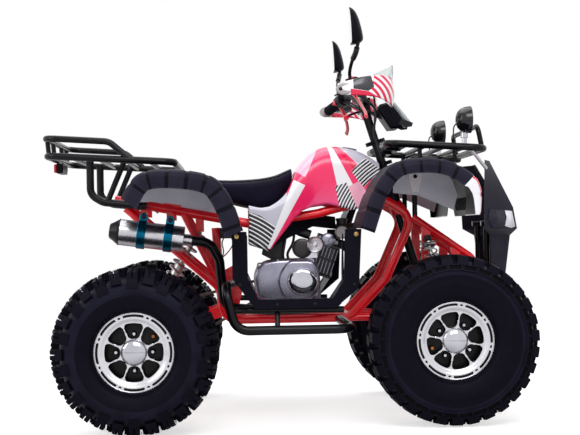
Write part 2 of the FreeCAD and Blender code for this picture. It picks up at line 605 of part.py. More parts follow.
def handlebar_group():
    column = steering_column()
    bars = handlebar()
    column = column.cut(block((200, -80, 966), (330, 80, 1080)))
    save("steering_column", [column])
    end, start = bar_points(-1)[-1], bar_points(-1)[-2]
    along = unit(end - start)
    grip = ring(end - along * (GRIP_LENGTH - 4), end, GRIP_R, BAR_R)
    save("handlebar", [bars])
    grips = both(grip)
    pod = bar(end - along * (GRIP_LENGTH + 46), end - along * (GRIP_LENGTH + 6), 24)
    pod = pod.cut(bar(start, end, BAR_R))
    save("grips", grips)
    save("switch_pods", both(pod))
    perch = end - along * (GRIP_LENGTH + 26)
    lever = tube([perch, perch + vec(52, -12, -20), end + vec(62, 24, -26)], 6, 25)
    save("levers", both(coped(lever, pod, bars)))
    # hand guard: a bent shield in front of the grip, carried at the bar's end
    shield = []
    for y, x, low, high in ((-376, 166, 992, 1030), (-372, 250, 985, 1040), (-330, 318, 962, 1052),
                            (-230, 330, 968, 1050), (-170, 322, 990, 1040)):
        shield.append(Part.makePolygon([vec(x, y, low), vec(x + 7, y - 3, low), vec(x + 7, y - 3, high),
                                        vec(x, y, high), vec(x, y, low)]))
    guard = Part.makeLoft(shield, True, True)
    cap = bar(end + along * 0.3, end + along * 22, 20)
    guard = fuse([guard, cap]).cut(grip)
    save("hand_guards", both(guard))
    deflector = Part.makeLoft([Part.makePolygon([vec(x, y, low), vec(x + 3, y - 1, low), vec(x + 3, y - 1, high),
                                                 vec(x, y, high), vec(x, y, low)])
                               for y, x, low, high in ((-366, 262, 1041, 1052), (-325, 322, 1053, 1084),
                                                       (-232, 334, 1051, 1088), (-175, 326, 1042, 1062))],
                              True, True)
    save("wind_deflectors", both(coped(deflector, guard)))
    stem = tube([vec(209, -234, 1040), vec(205, -240, 1085), vec(214, -345, 1132)], 6, 20)
    head = Part.makeLoft([Part.Wire(Part.makeCircle(r, vec(x, -352, z), vec(0.4, 0, 1)))
                          for r, x, z in ((10, 214, 1122), (34, 218, 1150), (36, 206, 1210), (22, 196, 1250))],
                         True, False)
    mirror = fuse([coped(stem, pod, bars), head])
    save("mirrors", both(mirror))
    lamp = side_plate([(304, 995), (346, 912), (388, 912), (418, 926), (362, 1000)], -62, 124)
    bracket = side_plate([(286, 969), (330, 942), (340, 960), (286, 976)], -10, 20)
    lamp = coped(fuse([lamp, bracket]), bars)
    save("headlight", [lamp])


# Engine and its fittings
def engine_block():
    return loft([rounded_section(x, half, 345, top, 40) for x, half, top in
                 ((-95, 70, 470), (-40, 82, 497), (85, 82, 497), (110, 70, 440))])


def engine(block_shape):
    cover_y = -82 - RUNNING_GAP
    outline = bent_path([vec(x, cover_y, z) for x, z in ((-103, 470), (-92, 372), (60, 362), (106, 392),
                                                         (88, 497), (-30, 499), (-103, 470))], 25)
    edges = outline.Edges + [Part.LineSegment(outline.Edges[-1].lastVertex().Point,
                                              outline.Edges[0].firstVertex().Point).toShape()] \
        if not outline.isClosed() else outline.Edges
    cover = Part.Face(Part.Wire(edges)).extrude(vec(0, -52, 0))
    window = bar(vec(52, -134.8, 424), vec(52, -143, 424), 46)
    save("engine_cover", [fuse([cover, window])])
    fins = []
    axis = unit(vec(34, 0, 100))
    foot = vec(100, 0, 440)
    for i in range(7):
        centre = foot + axis * (12 + 14 * i)
        fin = Part.makeBox(88, 96, 6, vec(-44, -48, 0))
        fin.Placement = FreeCAD.Placement(centre, FreeCAD.Rotation(vec(0, 0, 1), axis))
        fins.append(fin)
    barrel = Part.makeCylinder(34, 118, foot - axis * 8, axis)
    head = Part.makeBox(70, 80, 26, vec(-35, -40, 0))
    head.Placement = FreeCAD.Placement(foot + axis * 108, FreeCAD.Rotation(vec(0, 0, 1), axis))
    cylinder = coped(fuse(fins + [barrel, head]), block_shape)
    save("engine_cylinder", [cylinder])
    starter = fuse([bar(vec(52, -112, 529.9), vec(52, -50, 529.9), 32), bar(vec(94, -120, 541), vec(94, -60, 541), 26)])
    save("starter_motor", [starter])
    carb = fuse([block((165, -60, 558), (205, 20, 625)), bar(vec(181, -84, 577), vec(181, -60, 577), 21),
                 bar(vec(205, -20, 590), vec(235, -20, 590), 20)])
    save("carburettor", [carb.cut(cylinder)])
    box = loft([rounded_section(x, half, low, high, 20) for x, half, low, high in
                ((-70, 95, 520, 600), (0, 95, 560, 640), (90, 70, 600, 640), (164.6, 30, 590, 630))])
    save("air_box", [box])
    port_way = unit(axis.cross(vec(0, 1, 0))) * -1
    return foot + axis * 121 + port_way * 35, port_way


PIPE_R = 15.0
CAN_R = 40.0
TIP_LENGTH = 32.0
OUTLET_R = 14.0
OUTLET_FLOOR = 10.0


def exhaust(head_port, port_way):
    """Silencer with its clamps and pointed tip, and the pipe from the cylinder head's port."""
    tail, neck_start = vec(*MUFFLER_TAIL), vec(*MUFFLER_NECK)
    along = unit(neck_start - tail)
    can = bar(tail, neck_start, CAN_R)
    neck = bar(neck_start, neck_start + along * 26, 18)
    save("muffler", [fuse([can, neck])])
    clamps = []
    for share in CLAMP_SHARES:
        middle = tail + (neck_start - tail) * share
        strap = ring(middle - along * 15, middle + along * 15, CAN_R + 4, CAN_R)
        tab = block((middle.x - 13, middle.y - 6, middle.z + CAN_R - 6), (middle.x + 13, middle.y + 6,
                                                                          middle.z + TAB_TOP))
        arm = block((middle.x - 10, middle.y, middle.z + TAB_TOP - 6), (middle.x + 10, -FRAME_Y - 10,
                                                                        middle.z + TAB_TOP))
        clamps.append(fuse([strap, tab, arm]).cut(bar(middle - along * 40, middle + along * 40, CAN_R)))
    save("muffler_clamps", clamps)
    tip = Part.makeLoft([Part.Wire(Part.makeCircle(r, tail - along * d, along))
                         for r, d in ((CAN_R - 1, 0), (CAN_R - 3, 8), (20, TIP_LENGTH))], True, True)
    outlet = bar(tail - along * OUTLET_FLOOR, tail - along * (TIP_LENGTH + 1), OUTLET_R)
    save("muffler_tip", [tip.cut(outlet)])
    start = neck_start + along * 26
    pipe = tube([start, start + along * 55, vec(-212, -235, 500), vec(-200, -205, 352), vec(-60, -170, 338),
                 vec(60, -165, 340), vec(150, -135, 350), vec(190, -75, 395), vec(222, -15, 470),
                 head_port + port_way * 35, head_port], PIPE_R, 45)
    save("exhaust_pipe", [pipe])


SEAT_STATIONS = [(-400, 95, 712, 752, 20), (-360, 120, 705, 768, 26), (-225, 125, 690, 757, 30),
                 (-110, 112, 660, 757, 32), (-30, 100, 672, 768, 32), (25, 88, 725, 792, 24)]
SEAT_GAP = 0.5


def seat(grow=0.0):
    """Seat cushion on its base, or the pocket that it leaves when grow is a clearance."""
    ends = {0: -grow, len(SEAT_STATIONS) - 1: grow}
    return loft([rounded_section(x + ends.get(i, 0), half + grow, low - grow, high + grow, corner)
                 for i, (x, half, low, high, corner) in enumerate(SEAT_STATIONS)])


def body_cover():
    outer = loft([rounded_section(x, h, low, high, c) for x, h, low, high, c in BODY_STATIONS])
    inner = loft([rounded_section(x + (-1 if i == 0 else 1 if i == len(BODY_STATIONS) - 1 else 0), h - SKIN,
                                  low - 30, high - SKIN, c)
                  for i, (x, h, low, high, c) in enumerate(BODY_STATIONS)])
    shell = outer.cut(inner)
    arch = side_plate([(-130, 480), (-122, 545), (-55, 523), (-35, 551), (26, 626), (51, 649), (87, 663), (132, 669),
                       (208, 649), (240, 655), (310, 730), (310, 480)], -250, 500)
    return coped(shell, arch, seat(SEAT_GAP))


CAP_X = 215.0
FUEL_CAP_R = 24.0
FUEL_CAP_HEIGHT = 13.0


def fuel_cap(cover):
    """Screw cap with finger notches, seated on the sloping top of the cover."""
    (x0, _, _, z0, _), (x1, _, _, z1, _) = BODY_STATIONS[5:7]
    rise = (z1 - z0) / (x1 - x0)
    seat_point = vec(CAP_X, 0, z0 + (CAP_X - x0) * rise)
    up = unit(vec(-rise, 0, 1))
    cap = bar(seat_point + up * -2, seat_point + up * FUEL_CAP_HEIGHT, FUEL_CAP_R)
    across = unit(up.cross(vec(0, 1, 0)))
    for i in range(8):
        turn = math.radians(45 * i)
        notch = seat_point + across * (FUEL_CAP_R + 2) * math.cos(turn) + vec(0, (FUEL_CAP_R + 2) * math.sin(turn), 0)
        cap = cap.cut(bar(notch + up * 4, notch + up * 30, 5))
    return coped(cap, cover)


def swept(pairs, outline, bend):
    """Sweep an outline, given as (y, depth below the path) pairs, along a path in the XZ plane."""
    path = bent_path(side_points(pairs, 0), bend)
    start, following = side_points(pairs[:2], 0)
    run = unit(following - start)
    down = vec(run.z, 0, -run.x)
    corners = [start + vec(0, y, 0) + down * depth for y, depth in outline]
    return path.makePipeShell([Part.makePolygon(corners + corners[:1])], True, True)


def cross_ribs(pairs, inner, outer, bend, shares):
    """Low ribs over a right-hand arch's roof and shoulder, at shares of its path's length."""
    path = bent_path(side_points(pairs, 0), bend)
    outline = [(y, depth - RIB_HEIGHT) for y, depth in arch_outline(inner, outer + RIB_HEIGHT, RIB_LIP)]
    skin = swept(pairs, outline, bend)
    slices = []
    stations = path.discretize(Number=201)
    for share in shares:
        i = int(share * 200)
        point, run = stations[i], unit(stations[i + 1] - stations[i - 1])
        slice_box = Part.makeBox(RIB_WIDTH, 700, 120, vec(-RIB_WIDTH / 2, -700, -60))
        slice_box.Placement = FreeCAD.Placement(point, FreeCAD.Rotation(vec(1, 0, 0), run))
        slices.append(skin.common(slice_box))
    return slices


def arch_outline(inner, outer, lip):
    """Right-hand wheel-arch section: flat roof, round shoulder and turned-down lip."""
    points = [(-inner, 0), (-outer + SHOULDER, 0)]
    steps = 4
    turns = [math.radians(90.0 * i / steps) for i in range(1, steps + 1)]
    points += [(-outer + SHOULDER - SHOULDER * math.sin(a), SHOULDER - SHOULDER * math.cos(a)) for a in turns]
    points += [(-outer, lip), (-outer + SKIN, lip)]
    inside = SHOULDER - SKIN
    points += [(-outer + SHOULDER - inside * math.sin(a), SHOULDER - inside * math.cos(a)) for a in reversed(turns)]
    return points + [(-outer + SHOULDER, SKIN), (-inner, SKIN)]


SHOULDER = 22.0
RIB_HEIGHT = 2.5
RIB_WIDTH = 7.0
RIB_LIP = 34.0
REAR_RIBS = (0.14, 0.26, 0.38, 0.50, 0.62, 0.74)
FRONT_RIBS = (0.20, 0.32, 0.44, 0.56, 0.68, 0.80)
REAR_ARCH = [(-490, 690), (-440, 757), (-350, 771), (-230, 750), (-175, 690), (-138, 590)]
REAR_INNER = 195.0
REAR_OUTER = 525.0
FRONT_OUTER = 455.0
FRONT_ARCH = [(205, 592), (250, 710), (320, 786), (450, 793), (540, 750), (569, 700), (566, 625)]
FRONT_INNER = 180.0
HOOD_BACK_X = 352.0
HOOD_FRONT_X = 528.0
RACK_POST_X = 412.0
RACK_POST_R = 8.0


def rear_fender():
    arch = swept(REAR_ARCH, arch_outline(REAR_INNER, REAR_OUTER, 56), 60)
    return both(fuse([arch] + cross_ribs(REAR_ARCH, REAR_INNER + 60, REAR_OUTER, 60, REAR_RIBS)))


def front_fender():
    """Both front arches in one moulding, joined by the sheet under the rack."""
    arch = swept(FRONT_ARCH, arch_outline(FRONT_INNER, FRONT_OUTER, 46), 60)
    arch = fuse([arch] + cross_ribs(FRONT_ARCH, FRONT_INNER + 60, FRONT_OUTER, 60, FRONT_RIBS))
    sheet = swept(FRONT_ARCH, [(-FRONT_INNER - 1, 0), (FRONT_INNER + 1, 0), (FRONT_INNER + 1, SKIN),
                               (-FRONT_INNER - 1, SKIN)], 60)
    sheet = sheet.common(block((HOOD_BACK_X, -200, 700), (HOOD_FRONT_X, 200, 900)))
    posts = [bar(vec(RACK_POST_X, s * FRAME_Y, 700), vec(RACK_POST_X, s * FRAME_Y, 830), RACK_POST_R + RUNNING_GAP)
             for s in (-1, 1)]
    return coped(arch.fuse(sheet).fuse(mirrored(arch)), *posts)


SEAT_DECK = [(-486, 703), (-400, 711.5), (-360, 704.5), (-225, 689.5), (-205, 684)]
FRAME_TOP = 14.7


def frame_top(x):
    """Height just clear of the frame's sloping upper rail at x."""
    return 611 + (-110 - x) * (694 - 611) / 430.0 + FRAME_TOP


def rear_inner_guard(frame):
    """Tray under the seat: a deck with ribs on the frame rails, and walls up to the wheel arches."""
    deck = swept(SEAT_DECK, [(-REAR_INNER + 0.5, 0), (REAR_INNER - 0.5, 0), (REAR_INNER - 0.5, SKIN),
                             (-REAR_INNER + 0.5, SKIN)], 30)
    wall_top = bent_path(side_points(REAR_ARCH, -REAR_INNER), 60).Edges
    low = side_points([(-185, 655), (-300, 668), (-400, 684), (-480, 690)], -REAR_INNER)
    keep = block((-478, -250, 640), (-185, 0, 800))
    roof = Part.Face(Part.Wire(wall_top + [Part.LineSegment(wall_top[-1].lastVertex().Point,
                                                            wall_top[0].firstVertex().Point).toShape()]))
    wall = roof.extrude(vec(0, SKIN, 0)).common(keep)
    wall = wall.cut(side_plate([(-500, 600), (-500, 684), (-400, 684), (-300, 668), (-180, 655), (-180, 600)],
                               -REAR_INNER - 5, 20))
    rib = side_plate([(-470, frame_top(-470)), (-210, frame_top(-210)), (-210, 682), (-225, 686), (-360, 701),
                      (-400, 708), (-470, 701)], -FRAME_Y - 3, 6)
    return coped(fuse([deck] + both(wall) + both(rib)), frame)


FRONT_LINER = [(334, 700), (334, 750), (380, 770), (455, 771), (520, 738), (536, 690), (524, 643), (415, 690)]


def front_inner_guards(fender):
    """Grey liners hanging from the front arches beside the frame."""
    wall = side_plate(FRONT_LINER, -FRONT_INNER - 24, SKIN)
    strip = swept([(x, z - SKIN - RUNNING_GAP) for x, z in FRONT_ARCH],
                  [(-FRONT_INNER - 24, 0), (-FRONT_INNER - 4, 0), (-FRONT_INNER - 4, SKIN),
                   (-FRONT_INNER - 24, SKIN)], 56)
    strip = strip.common(block((338, -250, 700), (520, 0, 800)))
    tall = side_plate([(338, 745), (338, 781), (455, 786), (518, 756), (518, 730), (455, 760)],
                      -FRONT_INNER - 24, SKIN)
    tall = tall.cut(swept([(x, z + 40) for x, z in FRONT_ARCH], [(-230, 0), (-150, 0), (-150, 45), (-230, 45)], 60))
    return both(coped(fuse([wall, strip, tall]), fender))


SPROCKET_R = 84.0
SPROCKET_Y = 103.0
CHAIN_WIDTH = 10.0
CHAIN_DEPTH = 9.0
REAR_WRAP_LINKS = 18
FRONT_WRAP_LINKS = 7
ENGINE_SPROCKET = (-75.0, 400.0, 26.0)
DISC_R = 84.0


def rear_axle():
    """Axle with its hubs, the driven sprocket on the left and the brake disc on the right."""
    hub_face = REAR_TRACK / 2 + REAR_RIM_WIDTH / 2 - 24 - 22 - 30
    centre = (REAR_AXLE_X, REAR_TYRE_R)
    pieces = [bar(vec(centre[0], -hub_face, centre[1]), vec(centre[0], hub_face, centre[1]), AXLE_R)]
    for side in (-1, 1):
        pieces.append(bar(vec(centre[0], side * hub_face, centre[1]), vec(centre[0], side * (hub_face - 20), centre[1]), 36))
        pieces.append(bar(vec(centre[0], side * (SWING_Y + 16), centre[1]), vec(centre[0], side * 120, centre[1]), 26))
    pieces.append(bar(vec(centre[0], -105, centre[1]), vec(centre[0], -101, centre[1]), DISC_R))
    wheel = bar(vec(centre[0], SPROCKET_Y - 3, centre[1]), vec(centre[0], SPROCKET_Y + 3, centre[1]), SPROCKET_R - 6)
    for i in range(6):
        angle = math.radians(60 * i)
        hole = vec(centre[0] + 52 * math.cos(angle), 0, centre[1] + 52 * math.sin(angle))
        wheel = wheel.cut(bar(hole, hole + vec(0, 200, 0), 13))
    pieces.append(wheel)
    return fuse(pieces)


def polygon(centre, radius, sides):
    """Corners of a regular polygon in the XZ plane."""
    turns = [2 * math.pi * i / sides for i in range(sides)]
    return [(centre[0] + radius * math.cos(a), centre[1] + radius * math.sin(a)) for a in turns]


def drive_chain(engine_block):
    """Chain as one flat loop round both sprockets, with the engine's sprocket and shaft."""
    rear = (REAR_AXLE_X, REAR_TYRE_R, SPROCKET_R)
    front = ENGINE_SPROCKET
    dx, dz = front[0] - rear[0], front[1] - rear[1]
    span = math.hypot(dx, dz)
    heading = math.atan2(dz, dx)
    wrap = math.acos((rear[2] - front[2]) / span)

    def loop(extra):
        corners = []
        for (x, z, r), first, last, steps in ((rear, wrap, 2 * math.pi - wrap, REAR_WRAP_LINKS),
                                              (front, -wrap, wrap, FRONT_WRAP_LINKS)):
            for i in range(steps + 1):
                angle = heading + first + (last - first) * i / steps
                corners.append((x + (r + extra) * math.cos(angle), z + (r + extra) * math.sin(angle)))
        return side_plate(corners, SPROCKET_Y - CHAIN_WIDTH / 2, CHAIN_WIDTH)

    chain = loop(CHAIN_DEPTH / 2).cut(loop(-CHAIN_DEPTH / 2))
    sprocket = side_plate(polygon(front, front[2] - 2, 14), SPROCKET_Y - 3, 6)
    shaft = side_plate(polygon(front, 9, 8), 60, SPROCKET_Y - 54)
    return fuse([chain, sprocket, coped(shaft, engine_block)])


RACK_LEG_R = 12.0
RACK_LEG_Y = FRAME_Y + FRAME_R + RACK_LEG_R


RAISED_RAIL_Z = 881.0
RAIL_R = 10.0
RAIL_FOOT_X = -475.0
RAIL_POSTS_Y = (-220.0, -95.0, 95.0, 220.0)
REAR_DECK_FRONT_X = -345.0
REAR_DECK_FRONT_Z = 803.0
REAR_DECK_BACK_Z = 827.0
REAR_SLATS = (-655.0, -575.0, -495.0, -420.0)
SLAT_R = 8.0


def cross_tube(x, z, half, radius):
    return bar(vec(x, -half, z), vec(x, half, z), radius)


def rear_rack_pieces(frame):
    """The deck loop with its slats, the raised rail on its posts, and the legs beside the frame."""
    back = REAR_END_X + RACK_R
    slope = (REAR_DECK_BACK_Z - REAR_DECK_FRONT_Z) / (REAR_DECK_FRONT_X - back)
    deck_half = tube([vec(REAR_DECK_FRONT_X, 0, REAR_DECK_FRONT_Z), vec(REAR_DECK_FRONT_X, -RACK_HALF, REAR_DECK_FRONT_Z),
                      vec(back + 5, -RACK_HALF, REAR_DECK_BACK_Z), vec(back + 5, 0, REAR_DECK_BACK_Z)], RACK_R, 40)
    slats = [cross_tube(x, REAR_DECK_FRONT_Z + (REAR_DECK_FRONT_X - x) * slope, RACK_HALF, SLAT_R)
             for x in REAR_SLATS]
    deck = fuse(both(deck_half) + slats)
    rail_foot_z = REAR_DECK_FRONT_Z + (REAR_DECK_FRONT_X - RAIL_FOOT_X) * slope
    side = [(RAIL_FOOT_X, rail_foot_z), (-541, 868), (back, RAISED_RAIL_Z)]
    rail = tube(side_points(side, -RACK_HALF) + side_points(side[::-1], RACK_HALF), RAIL_R, 45)
    posts = [bar(vec(back + 5, y, REAR_DECK_BACK_Z), vec(back, y, RAISED_RAIL_Z), 7.5) for y in RAIL_POSTS_Y]
    rail = coped(fuse([rail] + posts), deck)
    leg = tube([vec(-614, -RACK_LEG_Y, 818), vec(-614, -RACK_LEG_Y, 710), vec(-575, -RACK_LEG_Y, 686),
                vec(-440, -RACK_LEG_Y + 4, 672)], RACK_LEG_R, 45)
    strut = bar(vec(-508, -RACK_LEG_Y, 812), vec(-560, -RACK_LEG_Y, 690), 9)
    leg = coped(fuse([leg, strut]), frame, deck)
    return deck, rail, both(leg)


def front_rack(frame):
    """Deck loop that opens round the steering column, a lower rail, a front hoop and two posts."""
    deck_z, nose_z = 851.0, 832.0
    deck = tube([vec(372, -95, deck_z - 4), vec(325, -110, deck_z), vec(310, -150, deck_z),
                 vec(310, -RACK_HALF, deck_z), vec(612, -RACK_HALF, nose_z), vec(612, 0, nose_z)], RACK_R, 40)
    rail = tube([vec(400, 0, 806), vec(400, -205, 806), vec(548, -205, 801), vec(548, 0, 801)], 8, 35)
    hoop = tube([vec(611, -235, 834), vec(598, -235, 903), vec(598, 0, 903)], 8, 25)
    post = bar(vec(RACK_POST_X, -FRAME_Y, 620), vec(RACK_POST_X, -FRAME_Y, 812), RACK_POST_R)
    links = [bar(vec(x, -205, 803), vec(x, -205, deck_z - (x - 310) * 0.063), 7) for x in (420, 530)]
    half = [deck, rail, hoop, post] + links
    slats = [cross_tube(x, deck_z - (x - 310) * (deck_z - nose_z) / 302, RACK_HALF, 8) for x in (370, 430, 490, 550)]
    return coped(fuse(half + [mirrored(shape) for shape in half] + slats), frame)


STRUT_R = 5.5


def rack_struts(rack, bumper):
    """Bright stays from the front rack's side tubes down to the corners of the nose guard."""
    strut = bar(vec(566, -RACK_HALF + 8, 832), vec(628, -208, 772), STRUT_R)
    return both(coped(strut, rack, bumper))


SPOT_Y = 262.0
SPOT_CENTRE = (552.0, 921.0)


def spot_lamps(rack):
    """Round driving lamps on stub brackets over the rack's side tubes."""
    x, z = SPOT_CENTRE
    outline = [(0, -26), (20, -24), (36, -10), (42, 8), (42, 20), (0, 20)]
    points = [vec(r, 0, a) for r, a in outline]
    lamp = Part.Face(Part.makePolygon(points + points[:1])).revolve(vec(0, 0, 0), vec(0, 0, 1), 360)
    lamp.rotate(vec(0, 0, 0), vec(0, 1, 0), 90)
    lamp.translate(vec(x, -SPOT_Y, z))
    stem = bar(vec(x, -RACK_HALF + 6, 838), vec(x, -SPOT_Y, z - 36), 9)
    return coped(fuse([lamp, stem]), rack)


BUMPER = [(426, 712, 60, 660, 110), (560, 728, 70, 650, 140), (582, FRONT_END_X, 90, 622, 206),
          (650, 735, 95, 620, 212), (798, 650, 150, 624, 215)]


def front_bumper():
    """Faceted nose guard: a skin that is open behind, with a window above and below."""
    def level(z, front, front_half, rear, rear_half, inset):
        back = rear - (30 if inset else 0)
        front, front_half, rear_half = front - inset, front_half - inset / 2, rear_half - inset
        points = [vec(back, -rear_half, z), vec(rear, -rear_half, z), vec(front, -front_half, z),
                  vec(front, front_half, z), vec(rear, rear_half, z), vec(back - 1, rear_half, z)]
        points[0].x = back - 1
        return Part.makePolygon(points + points[:1])
    outer = Part.makeLoft([level(*row, 0) for row in BUMPER], True, True)
    inner_rows = [(BUMPER[0][0] - 5,) + BUMPER[0][1:]] + BUMPER[1:-1] + [(BUMPER[-1][0] + 5,) + BUMPER[-1][1:]]
    inner = Part.makeLoft([level(*row, 5) for row in inner_rows], True, True)
    shell = outer.cut(inner)
    upper = side_plate([(560, 672), (560, 820), (800, 820), (800, 672)], -95, 190)
    lower = side_plate([(560, 455), (560, 535), (800, 535), (800, 455)], -40, 80)
    return shell.cut(upper).cut(lower)


STAY_Y = -78.0


def bumper_bracket(frame, bumper):
    """Black stays from the frame's nose tubes to the inside of the bumper."""
    stays = [bar(vec(632, STAY_Y, z), vec(x_end, STAY_Y, z + 4), 9) for z, x_end in ((420, 694), (600, 730))]
    stays.append(bar(vec(650, STAY_Y, 416), vec(650, STAY_Y, 604), 9))
    return coped(fuse(stays), frame, bumper)


PEG_R = 10.0
FLOOR_Z = 362.0


def side_bars(frame):
    """Outer bar beside the footwell with the foot bar that carries the footwell floor."""
    loop = tube([vec(-156, -FRAME_Y, 430), vec(-196, -SIDE_BAR_Y, 424), vec(-165, -SIDE_BAR_Y, 292), vec(186, -SIDE_BAR_Y, 292),
                 vec(162, -FRAME_Y, 305)], SIDE_BAR_R, 50)
    peg_z = FLOOR_Z - RUNNING_GAP - PEG_R
    peg = tube([vec(-172, -SIDE_BAR_Y + 5, peg_z), vec(-130, -SIDE_BAR_Y + 30, peg_z), vec(160, -SIDE_BAR_Y + 30, peg_z - 3)],
               PEG_R, 20)
    post = bar(vec(-40, -SIDE_BAR_Y + 6, 292), vec(-40, -SIDE_BAR_Y + 30, peg_z), 8)
    return coped(fuse([loop, peg, post]), frame)


GUARD_FRAME = [(-172, 586), (-172, 447), (-106, 356), (134, 356), (204, 414), (214, 589), (166, 589), (160, 438),
               (126, 384), (-96, 384), (-128, 456), (-128, 586)]


HEEL_AND_TOE_WALLS = [
    ([(-130, 440), (-94, 362), (-90, 364), (-126, 442), (-126, 575), (-130, 575)],
     [(-132, 440), (-98, 362), (-94, 364), (-128, 442), (-128, 552), (-132, 552)]),
    ([(161, 430), (124, 362), (120, 364), (157, 432), (157, 575), (161, 575)],
     [(171, 430), (124, 362), (120, 364), (167, 432), (167, 470), (171, 470)]),
]


def footwell_guards():
    frame = side_plate(GUARD_FRAME, -400, 22)
    floor = block((-95, -380, FLOOR_Z), (124, -165, FLOOR_Z + 6))
    ribs = [block((x, -370, FLOOR_Z + 6), (x + 6, -200, FLOOR_Z + 12)) for x in (-70, -35, 0, 35, 70)]
    walls = []
    for outer, inner in HEEL_AND_TOE_WALLS:
        wires = [Part.makePolygon(side_points(pairs + pairs[:1], y)) for pairs, y in ((outer, -379), (inner, -205))]
        walls.append(Part.makeLoft(wires, True, True))
    return fuse([frame, floor] + ribs + walls)


FASCIA_PATH = [(HOOD_FRONT_X, 755), (572, 712), (594, 626)]


def front_fascia(fender):
    """Nose panel between the arches, hung from the front edge of the sheet under the rack."""
    half = FRONT_INNER - RUNNING_GAP
    panel = swept(FASCIA_PATH, [(-half, 0), (half, 0), (half, SKIN), (-half, SKIN)], 40)
    grille = [block((560, y - 9, 640), (620, y + 9, 690)) for y in (-120, -90, -60, -30, 0, 30, 60, 90, 120)]
    return coped(panel, fender, *grille)


def tail_lamp():
    back = REAR_END_X + RACK_R
    return block((back - 4, -60, 783), (back + 26, 60, 815.6))


wheels()
side_frames = both(side_frame())
save("main_frame", side_frames)
members = cross_members(side_frames)
save("cross_members", members)
frame = Part.makeCompound(side_frames + members)
save("swingarm", [swingarm()])
save("rear_shock", [rear_shock()])
front_suspension()
for name, side in (("right", -1), ("left", 1)):
    part = knuckle()
    save("knuckle_" + name, [part if side < 0 else mirrored(part)])
    rod = tie_rod()[0]
    save("tie_rod_" + name, [rod if side < 0 else mirrored(rod)])
handlebar_group()
block_shape = engine_block()
save("engine_block", [block_shape])
exhaust(*engine(block_shape))
save("rear_axle", [rear_axle()])
save("drive_chain", [drive_chain(block_shape)])
save("seat", [seat()])
cover = body_cover()
save("body_cover", [cover])
save("fuel_cap", [fuel_cap(cover)])
save("rear_fender", rear_fender())
fender = front_fender()
save("front_fender", [fender])
save("rear_inner_guard", [rear_inner_guard(frame)])
save("front_inner_guards", front_inner_guards(fender))
rack_deck, rack_rail, rack_legs = rear_rack_pieces(frame)
save("rear_rack", [rack_deck])
save("rear_rack_rail", [rack_rail])
save("rear_rack_legs", rack_legs)
rack = front_rack(frame)
save("front_rack", [rack])
save("spot_lamps", both(spot_lamps(rack)))
bumper = front_bumper()
save("front_bumper", [bumper])
save("rack_struts", rack_struts(rack, bumper))
save("bumper_bracket", both(bumper_bracket(frame, bumper)))
save("side_bars", both(side_bars(frame)))
save("footwell_guards", both(footwell_guards()))
save("front_fascia", [front_fascia(fender)])
save("tail_lamp", [tail_lamp()])
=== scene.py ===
# %% [markdown]
# # A youth quad bike with racks, footwells and eight-spoke wheels
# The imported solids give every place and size. This lesson dresses them: some solids keep their shape and get
# a real finish, and others are stood in for by finer meshes that lie in the same space. Each cell makes one
# thing. Lengths are metres, +X is forward, +Y is left, +Z is up, and the floor is at zero.

# %% The frame and the tools
import bpy
import json
import math
import numpy as np
from mathutils import Matrix, Vector


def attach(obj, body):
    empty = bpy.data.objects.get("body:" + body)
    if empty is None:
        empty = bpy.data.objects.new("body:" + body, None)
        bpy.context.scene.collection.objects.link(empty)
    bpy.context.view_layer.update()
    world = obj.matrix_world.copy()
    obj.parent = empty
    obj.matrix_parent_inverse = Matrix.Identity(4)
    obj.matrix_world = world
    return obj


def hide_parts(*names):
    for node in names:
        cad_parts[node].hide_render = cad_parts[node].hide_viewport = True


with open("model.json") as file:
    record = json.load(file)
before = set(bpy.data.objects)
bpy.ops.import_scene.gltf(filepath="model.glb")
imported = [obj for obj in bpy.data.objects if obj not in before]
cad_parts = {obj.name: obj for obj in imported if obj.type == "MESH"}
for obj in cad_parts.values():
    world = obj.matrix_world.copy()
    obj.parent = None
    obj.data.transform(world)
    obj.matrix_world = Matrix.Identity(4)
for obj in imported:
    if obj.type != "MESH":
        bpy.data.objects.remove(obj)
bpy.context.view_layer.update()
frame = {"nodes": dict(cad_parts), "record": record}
nodes = frame["nodes"]
MM = 0.001


def mm(values):
    """Array of lengths given in millimetres, as metres."""
    return np.array(values, float) * MM


# %% [markdown]
# The photograph was taken from the right, almost square on, with a long lens and from a little over axle
# height. A camera far away keeps the near and far wheels nearly the same size. The angles below were solved
# from the wheel centres, the rack and the mirrors, so they are written as numbers.

# %% Camera
PICTURE_WIDTH_PX = 580
FOCAL_PX = 1308.54
SENSOR_MM = 36.0
CAMERA_PLACE = Vector(mm([-155.97, -4283.23, 588.67]))
CAMERA_YAW, CAMERA_PITCH, CAMERA_ROLL = 0.0406, 0.00968, -0.01741


def camera_turn(yaw, pitch, roll):
    """Camera axes as a matrix: +Y turned right by yaw and up by pitch, and then the picture is rolled."""
    level = Vector((math.sin(yaw), math.cos(yaw), 0))
    right = Vector((math.cos(yaw), -math.sin(yaw), 0))
    forward = level * math.cos(pitch) + Vector((0, 0, math.sin(pitch)))
    up = right.cross(forward)
    turned_right = right * math.cos(roll) + up * math.sin(roll)
    turned_up = up * math.cos(roll) - right * math.sin(roll)
    return Matrix((turned_right, turned_up, -forward)).transposed()


camera_data = bpy.data.cameras.new("side_camera")
camera_data.sensor_width = SENSOR_MM
camera_data.lens = SENSOR_MM * FOCAL_PX / PICTURE_WIDTH_PX
camera_data.clip_end = 60
camera = bpy.data.objects.new("side_camera", camera_data)
camera_axes = camera_turn(CAMERA_YAW, CAMERA_PITCH, CAMERA_ROLL).to_4x4()
camera.matrix_world = Matrix.Translation(CAMERA_PLACE) @ camera_axes
bpy.context.scene.collection.objects.link(camera)
bpy.context.scene.camera = camera
print("lens mm:", round(camera_data.lens, 1))

